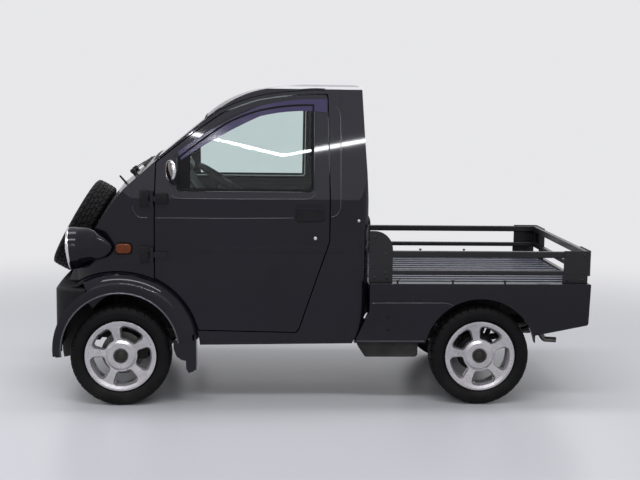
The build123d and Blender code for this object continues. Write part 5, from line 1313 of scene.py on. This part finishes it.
# %% Mirrors
materials["dim_chrome"] = make_finish("dim_chrome", (0.20, 0.17, 0.165), (0.13, 0.11, 0.105), 12, (0.04, 0.12),
                                      1.0, 0.5, (0.0, 0.1), (300, 0.01), 0.002, None, None)
for name, side in sides:
    head = Vector((back(258), side * 0.662, 1.203))
    ahead_and_out = Vector((-math.cos(math.radians(25)), side * math.sin(math.radians(25)), 0))
    cup, rim, glass, ring = bmesh.new(), bmesh.new(), bmesh.new(), bmesh.new()
    turn(cup, head, ahead_and_out, ((-0.008, 0), (-0.008, 0.050), (0.002, 0.0505), (0.005, 0.046), (0.009, 0.034),
                                    (0.0115, 0.018), (0.012, 0)), 56)
    turn(rim, head, ahead_and_out, ((-0.0095, 0.0490), (-0.0110, 0.0510), (-0.0090, 0.0530), (-0.004, 0.0545),
                                    (0.003, 0.0542), (0.007, 0.0515), (0.0065, 0.0480)), 56, closed=True)
    stalk = smooth_path([(back(257), side * 0.574, 1.182), (back(256), side * 0.600, 1.183),
                         (back(254), side * 0.628, 1.189), head - ahead_and_out * 0.002], 5)
    sweep(rim, stalk, round_section(0.0085, 14), up=(1, 0, 0))
    turn(glass, head, ahead_and_out, ((-0.0078, 0), (-0.0078, 0.0485), (-0.0095, 0.0485), (-0.0105, 0.030),
                                      (-0.0110, 0)), 56)
    turn(ring, (back(257), side * 0.572, 1.182), (0, side, 0.18),
         ((0, 0), (0, 0.022), (0.004, 0.021), (0.008, 0.012), (0.010, 0.0)), 32)
    node = f"mirror_{name}"
    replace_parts(keep_piece(f"mirror_shell_{name}", cup, "dim_chrome", f"door_{name}", angle=50), node)
    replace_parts(keep_piece(f"mirror_rim_{name}", rim, "chrome", f"door_{name}", angle=50), node)
    keep_piece(f"mirror_glass_{name}", glass, "chrome", f"door_{name}", angle=50)
    keep_piece(f"mirror_foot_{name}", ring, "rubber", f"door_{name}", angle=60)
print("mirror heads at", tuple(round(part, 3) for part in head))

# %% [markdown]
# ## Seats
# A seat is foam under sewn cloth. It starts as a crowned closed form, a little too small, whose sides pull in
# between its corners. Cloth under pressure then swells it, while its underside and its sewn channels are held
# still, so that the cover bulges between them. The piping and the stitches are laid on afterwards.

# %% The form of a cushion
def cushion_form(name, frame_matrix, length, width, height):
    """A crowned closed form in its own frame: its flat side rests on the plane, its length runs along x."""
    shape = bmesh.new()
    bmesh.ops.create_cube(shape, size=2)
    bmesh.ops.subdivide_edges(shape, edges=shape.edges, cuts=15, use_grid_fill=True)
    for vertex in shape.verts:
        u, v, w = vertex.co
        corner = 1 - 0.10 * (abs(u) * abs(v)) ** 6
        crown = 1 - 0.30 * max(abs(u), abs(v)) ** 8
        x = u * corner * (1 - 0.035 * (1 - v * v) * abs(u)) * length / 2
        y = v * corner * (1 - 0.035 * (1 - u * u) * abs(v)) * width / 2
        z = height * ((w + 1) / 2) * crown * (1 - 0.06 * abs(u) ** 3)
        vertex.co = frame_matrix @ Vector((x, y, z))
    bmesh.ops.recalc_face_normals(shape, faces=shape.faces)
    mesh = bpy.data.meshes.new(name)
    shape.to_mesh(mesh)
    shape.free()
    cushion = bpy.data.objects.new(name, mesh)
    scene.collection.objects.link(cushion)
    print(name, "starts with", len(mesh.vertices), "points")
    return cushion


# %% [markdown]
# The form is remeshed evenly, so that cloth has threads of one length. Air pressure alone drives the cloth, and
# no corner may move further than a given reach, so that the seat keeps inside the cab's own sizes.

# %% Swelling with cloth
def applied(piece):
    """The piece's mesh with its modifiers worked in."""
    return bpy.data.meshes.new_from_object(piece.evaluated_get(bpy.context.evaluated_depsgraph_get()))


def swell(cushion, frame_matrix, channels, reach, voxel=0.0075, frames=20):
    """Swells a cushion with cloth under pressure. Its back and its channels stay, and no point moves past reach."""
    even = cushion.modifiers.new("even", "REMESH")
    even.mode, even.voxel_size = "VOXEL", voxel
    cushion.data = applied(cushion)
    cushion.modifiers.clear()
    own = frame_matrix.inverted()
    held = cushion.vertex_groups.new(name="held")
    for vertex in cushion.data.vertices:
        x, y, z = own @ vertex.co
        if z < 0.012 or z > 0.03 and any(abs(y - line) < voxel * 0.7 for line in channels):
            held.add([vertex.index], 1.0, "REPLACE")
    start = [vertex.co.copy() for vertex in cushion.data.vertices]
    cloth = cushion.modifiers.new("cloth", "CLOTH")
    settings = cloth.settings
    settings.quality, settings.mass = 4, 0.3
    settings.tension_stiffness = settings.compression_stiffness = 25
    settings.shear_stiffness, settings.bending_stiffness = 10, 3
    settings.use_pressure, settings.uniform_pressure_force = True, 4.0
    settings.effector_weights.gravity = 0
    settings.vertex_group_mass = "held"
    cloth.point_cache.frame_end = frames
    for step in range(1, frames + 1):
        scene.frame_set(step)
    swollen = applied(cushion)
    furthest = 0
    for vertex, before in zip(swollen.vertices, start):
        moved = vertex.co - before
        furthest = max(furthest, min(moved.length, reach))
        if moved.length > reach:
            vertex.co = before + moved.normalized() * reach
    cushion.modifiers.clear()
    scene.frame_set(1)
    cushion.data = swollen
    print(cushion.name, "swelled by up to", round(furthest * 1000, 1), "mm")


# %% [markdown]
# Piping is a cord sewn in round the edge, and stitches run down the channels. Rays put both on the swollen
# cover, because its height is only known after the cloth has settled.

# %% Cover, piping and stitches
def dress_cushion(cushion, node, matrix, length, width, channels):
    """One subdivision, the finish, the piping and the stitches, and what the cushion stands for."""
    cushion.modifiers.new("smooth", "SUBSURF").levels = 1
    cushion.data = applied(cushion)
    cushion.modifiers.clear()
    cushion.data.shade_smooth()
    cushion.data.materials.clear()
    cushion.data.materials.append(materials["seat_cloth"])
    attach(cushion, "body")
    if node:
        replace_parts(cushion, node)
    tree = BVHTree.FromPolygons([vertex.co for vertex in cushion.data.vertices],
                                [list(face.vertices) for face in cushion.data.polygons])
    out = (matrix.to_3x3() @ Vector((0, 0, 1))).normalized()
    seams = bmesh.new()
    outline = []
    for step in range(72):
        angle = 2 * math.pi * step / 72
        c, s = math.cos(angle), math.sin(angle)
        reach = (abs(c) ** 7 + abs(s) ** 7) ** (-1 / 7)
        flat = matrix @ Vector((c * reach * length * 0.468, s * reach * width * 0.468, 1))
        outline.append(tree.ray_cast(flat, -out)[0] or flat - out)
    sweep(seams, outline, round_section(0.0032, 8), closed=True, up=out)
    for line in channels:
        flats = [matrix @ Vector((length * (step / 24 - 0.5) * 0.9, line, 1)) for step in range(25)]
        met = [tree.ray_cast(flat, -out)[0] for flat in flats]
        sweep(seams, [place + out * 0.0006 for place in met if place is not None],
              ((-0.0016, -0.001), (-0.0008, 0.0009), (0.0008, 0.0009), (0.0016, -0.001)), up=out)
    keep_piece(cushion.name + "_seams", seams, "interior", "body", angle=70)
    print(cushion.name, "has", len(channels), "stitched channels")


# %% [markdown]
# Each kind of cushion is swelled once, on the left, and copied to the right. Cushions and backs stand for the
# frame's plain ones. The head pads are additions, and stand on two bright posts each over the backs.

# %% Cushions, backs and head pads
seat_matrices = {}
seat_y = 0.285
lean = math.radians(5)
rise, front = Vector((math.sin(lean), 0, math.cos(lean))), Vector((-math.cos(lean), 0, math.sin(lean)))
flat_back = Matrix((rise, front.cross(rise), front)).transposed().to_4x4()
for name, side in sides:
    foot = Vector((back(1080.6), side * seat_y, 0.660)) - front * 0.044
    seat_matrices[f"seat_cushion_{name}"] = Matrix.Translation((back(830), side * seat_y, 0.6455))
    seat_matrices[f"seat_back_{name}"] = Matrix.Translation(foot + rise * 0.285) @ flat_back
    seat_matrices[f"head_pad_{name}"] = Matrix.Translation(foot + rise * 0.675 + front * 0.008) @ flat_back
cushion_sizes = (("seat_cushion", "seat_cushions", 0.384, 0.412, 0.104, (-0.075, 0.075), 0.013, 0.75),
                 ("seat_back", "seat_backs", 0.545, 0.402, 0.074, (-0.075, 0.075), 0.013, 0.75),
                 ("head_pad", "", 0.150, 0.230, 0.062, (), 0.010, 0.9))
for kind, node, length, width, height, channels, reach, fill in cushion_sizes:
    first_matrix = seat_matrices[f"{kind}_left"]
    first = cushion_form(f"{kind}_left", first_matrix, length, width, height)
    swell(first, first_matrix, channels, reach)
    second = bpy.data.objects.new(f"{kind}_right", first.data.copy())
    scene.collection.objects.link(second)
    second.data.transform(seat_matrices[f"{kind}_right"] @ first_matrix.inverted())
    for cushion in (first, second):
        dress_cushion(cushion, node, seat_matrices[cushion.name], length, width, channels)
    print(kind, "corners", len(first.data.vertices))
posts = bmesh.new()
for name, side in sides:
    matrix = seat_matrices[f"head_pad_{name}"]
    for across in (-0.06, 0.06):
        sweep(posts, [matrix @ Vector((x, across, 0.030)) for x in (-0.135, -0.09, -0.05)], round_section(0.006, 10),
              up=(0, 1, 0))
keep_piece("head_pad_posts", posts, "chrome", "body", angle=60)
print("cushions", len(seat_matrices))

# %% [markdown]
# ## The dashboard
# The construction has the dashboard as one bar. What makes it a dashboard is added here: a hood with two dials,
# air vents, knobs and the lid of the glove box. None of it has lettering.

# %% The dashboard
dash_skin = skin_of("dashboard")
into_dash = Vector((-1, 0, 0))


def on_dash(y, z):
    """The dashboard's face at one width and height."""
    return land(dash_skin, (0.4, y, z), into_dash)


dash_up = (on_dash(0.1, 1.20) - on_dash(0.1, 1.15)).normalized()
dash_out = Vector((0, 1, 0)).cross(dash_up).normalized()
dash_axes = ((0, 1, 0), dash_up, dash_out)
trim, bright, dark = bmesh.new(), bmesh.new(), bmesh.new()
hood_at = on_dash(0.290, 1.185)
block(trim, hood_at + dash_out * 0.012, (0.290, 0.105, 0.050), dash_axes, bevel=0.016)
for offset in (-0.068, 0.068):
    dial = hood_at + dash_out * 0.037 + Vector((0, offset, 0))
    turn(bright, dial, dash_out, ((-0.002, 0.040), (0.003, 0.040), (0.004, 0.043), (-0.002, 0.046)), 40, closed=True)
    turn(dark, dial, dash_out, ((-0.002, 0), (-0.002, 0.040), (0.001, 0.040), (0.0005, 0)), 40)
    needle = dash_up * 0.8 + Vector((0, 0.6, 0))
    sweep(bright, [dial + dash_out * 0.003, dial + dash_out * 0.003 + needle * 0.028], round_section(0.0009, 6),
          up=dash_out)
for y in (-0.470, -0.075, 0.075, 0.485):
    place = on_dash(y, 1.165) + dash_out * 0.003
    block(dark, place, (0.084, 0.050, 0.014), dash_axes, bevel=0.004)
    for slat in (-0.016, -0.005, 0.006, 0.017):
        block(trim, place + dash_up * slat + dash_out * 0.008, (0.078, 0.0022, 0.008), dash_axes, bevel=0.0006)
panel_at = on_dash(0, 1.085)
panel_up = (on_dash(0.1, 1.10) - on_dash(0.1, 1.07)).normalized()
panel_out = Vector((0, 1, 0)).cross(panel_up).normalized()
block(dark, panel_at + panel_out * 0.004, (0.178, 0.050, 0.014), ((0, 1, 0), panel_up, panel_out), bevel=0.003)
knob_out = Vector((0.886, 0, 0.464))
for y in (-0.058, 0.0, 0.058):
    knob = on_dash(y, 1.020)
    turn(dark, knob, knob_out, ((-0.002, 0), (-0.002, 0.019), (0.012, 0.017), (0.014, 0.014), (0.014, 0)), 28)
    block(bright, knob + knob_out * 0.0145, (0.0025, 0.018, 0.002),
          ((0, 1, 0), knob_out.cross(Vector((0, 1, 0))), knob_out), bevel=0)
glove_box = [on_dash(y, z) + Vector((0.0015, 0, 0)) for y, z in
             ((-0.46, 1.10), (-0.16, 1.10), (-0.16, 1.0), (-0.46, 1.0))]
dense_box = [glove_box[k].lerp(glove_box[(k + 1) % 4], t / 8) for k in range(4) for t in range(8)]
dense_box = [on_dash(place.y, place.z) + Vector((0.0008, 0, 0)) for place in dense_box]
sweep(dark, dense_box, round_section(0.0018, 6), closed=True, up=(1, 0, 0.4))
keep_piece("dash_trim", trim, "interior", "body", angle=45)
keep_piece("dash_rings", bright, "chrome", "body", angle=45)
keep_piece("dash_dark_parts", dark, "black_trim", "body", angle=45)
print("dashboard faces", tuple(round(part, 2) for part in dash_out))

# %% [markdown]
# ## Mats, pedals and levers
# Ribbed rubber mats lie on the floor, whose height a ray finds. Three pedals hang over the driver's mat, and the
# gear lever and the handbrake stand between the seats.

# %% Mats, pedals and levers
cab_skin = skin_of("cab_floor")
floor_at = {name: land(cab_skin, (back(515), side * 0.29, 0.60), (0, 0, -1)).z for name, side in sides}
mats, controls = bmesh.new(), bmesh.new()
for name, side in sides:
    pad(mats, (back(512), side * seat_y, floor_at[name] + 0.006), (1, 0, 0), (0, 1, 0), (0.140, 0.400), 0.0055,
        lambda u, v: 0.0015 * math.cos(v * 60) * (1 - max(abs(u), abs(v)) ** 12), (8, 80))
pad_out = Vector((0.80, 0, 0.60))
for y in (0.120, 0.200, 0.272):
    sweep(controls, smooth_path([(back(300), y, 0.870), (back(330), y, 0.760), (back(372), y, 0.640),
                                 (back(400), y, 0.575)], 4), round_section(0.006, 8), up=(0, 1, 0))
    block(controls, Vector((back(404), y, 0.560)), (0.052, 0.046, 0.012),
          ((0, 1, 0), pad_out.cross(Vector((0, 1, 0))), pad_out), bevel=0.003)
lever_foot = Vector((back(560), 0.02, floor_at["right"]))
turn(controls, lever_foot, (0, 0, 1), ((0, 0), (0, 0.052), (0.012, 0.050), (0.030, 0.036), (0.036, 0.037),
                                       (0.052, 0.024), (0.058, 0.025), (0.070, 0.010), (0.070, 0)), 32)
sweep(controls, [lever_foot + Vector((0, 0, 0.06)), lever_foot + Vector((0.02, 0, 0.20)),
                 lever_foot + Vector((0.03, 0, 0.33))], round_section(0.0065, 10), up=(0, 1, 0))
turn(controls, lever_foot + Vector((0.03, 0, 0.325)), (0.05, 0, 1),
     ((0, 0), (0, 0.012), (0.010, 0.020), (0.024, 0.025), (0.038, 0.022), (0.047, 0.012), (0.049, 0)), 28)
sweep(controls, smooth_path([(back(800), 0.0, 0.655), (back(760), 0.0, 0.690), (back(690), 0.0, 0.735),
                             (back(620), 0.0, 0.765)], 5), round_section(0.009, 12), up=(0, 1, 0))
sweep(controls, [(back(700), 0.0, 0.731), (back(655), 0.0, 0.751), (back(612), 0.0, 0.768)],
      round_section(0.0165, 14), up=(0, 1, 0))
block(controls, (back(770), 0.0, 0.657), (0.120, 0.060, 0.022), bevel=0.006)
keep_piece("floor_mats", mats, "rubber", "body")
keep_piece("pedals_and_levers", controls, "black_trim", "body", angle=45)
print("floor heights", {name: round(height, 3) for name, height in floor_at.items()})

# %% [markdown]
# ## Door cards and belts
# Each door has a card on its inner side, with an armrest, a pull handle and a window winder, and a trim strip
# is draped along the sill of its window. A belt hangs from the pillar behind it. The cards swing with the doors,
# so they stay clear of the dashboard and the seats.

# %% Door cards and belts
def card_swell(u, v):
    """The card's cover: round at its edges, with shallow waves across."""
    return 0.0035 * (1 - max(abs(u), abs(v)) ** 14) + 0.0012 * math.cos(v * 9) * (1 - v * v)


sill_trim = ((300, 1.037), (1012, 1.037), (1012, 1.078), (300, 1.078))
for name, side in sides:
    inner = side * 0.5550
    card, handles = bmesh.new(), bmesh.new()
    pad(card, (back(690), inner - side * 0.001, 0.735), (-side, 0, 0), (0, 0, 1), (0.560, 0.600), 0.0005,
        card_swell, (40, 40))
    block(card, (back(760), inner - side * 0.022, 0.835), (0.250, 0.044, 0.040), bevel=0.012)
    turn(handles, (back(540), inner - side * 0.002, 0.800), (0, -side, 0),
         ((0, 0), (0, 0.020), (0.008, 0.018), (0.012, 0.010), (0.012, 0)), 24)
    sweep(handles, [(back(540), inner - side * 0.012, 0.800), (back(562), inner - side * 0.018, 0.765),
                    (back(580), inner - side * 0.020, 0.728)], round_section(0.0055, 10), up=(0, 1, 0))
    turn(handles, (back(580), inner - side * 0.018, 0.730), (0, -side, 0),
         ((0, 0), (0, 0.008), (0.012, 0.010), (0.016, 0.008), (0.016, 0)), 20)
    block(handles, (back(905), inner - side * 0.006, 0.930), (0.070, 0.012, 0.022), bevel=0.004)
    rows = quad_rows(*((back(x), side * 0.45, z) for x, z in sill_trim), 8, 12)
    drape(card, skin_of(f"door_{name}"), rows, (0, side, 0), 0.003)
    keep_piece(f"door_card_{name}", card, "interior", f"door_{name}", angle=50)
    keep_piece(f"door_card_handles_{name}", handles, "black_trim", f"door_{name}", angle=45)
    belt = bmesh.new()
    pillar = skin_of(f"cab_side_{name}")
    upper = land(pillar, (back(1120), side * 0.2, 1.380), (0, side, 0))
    lower = land(pillar, (back(1128), side * 0.2, 0.790), (0, side, 0))
    hang = [upper.lerp(lower, step / 8) - Vector((0, side * 0.004, 0)) for step in range(9)]
    sweep(belt, hang, ((-0.023, -0.0008), (-0.023, 0.0008), (0.023, 0.0008), (0.023, -0.0008)), up=(0, side, 0))
    block(belt, upper - Vector((0, side * 0.006, 0)), (0.060, 0.012, 0.040), bevel=0.004)
    block(belt, lower - Vector((0, side * 0.010, 0)), (0.070, 0.022, 0.090), bevel=0.006)
    keep_piece(f"seat_belt_{name}", belt, "interior", "body", angle=45)
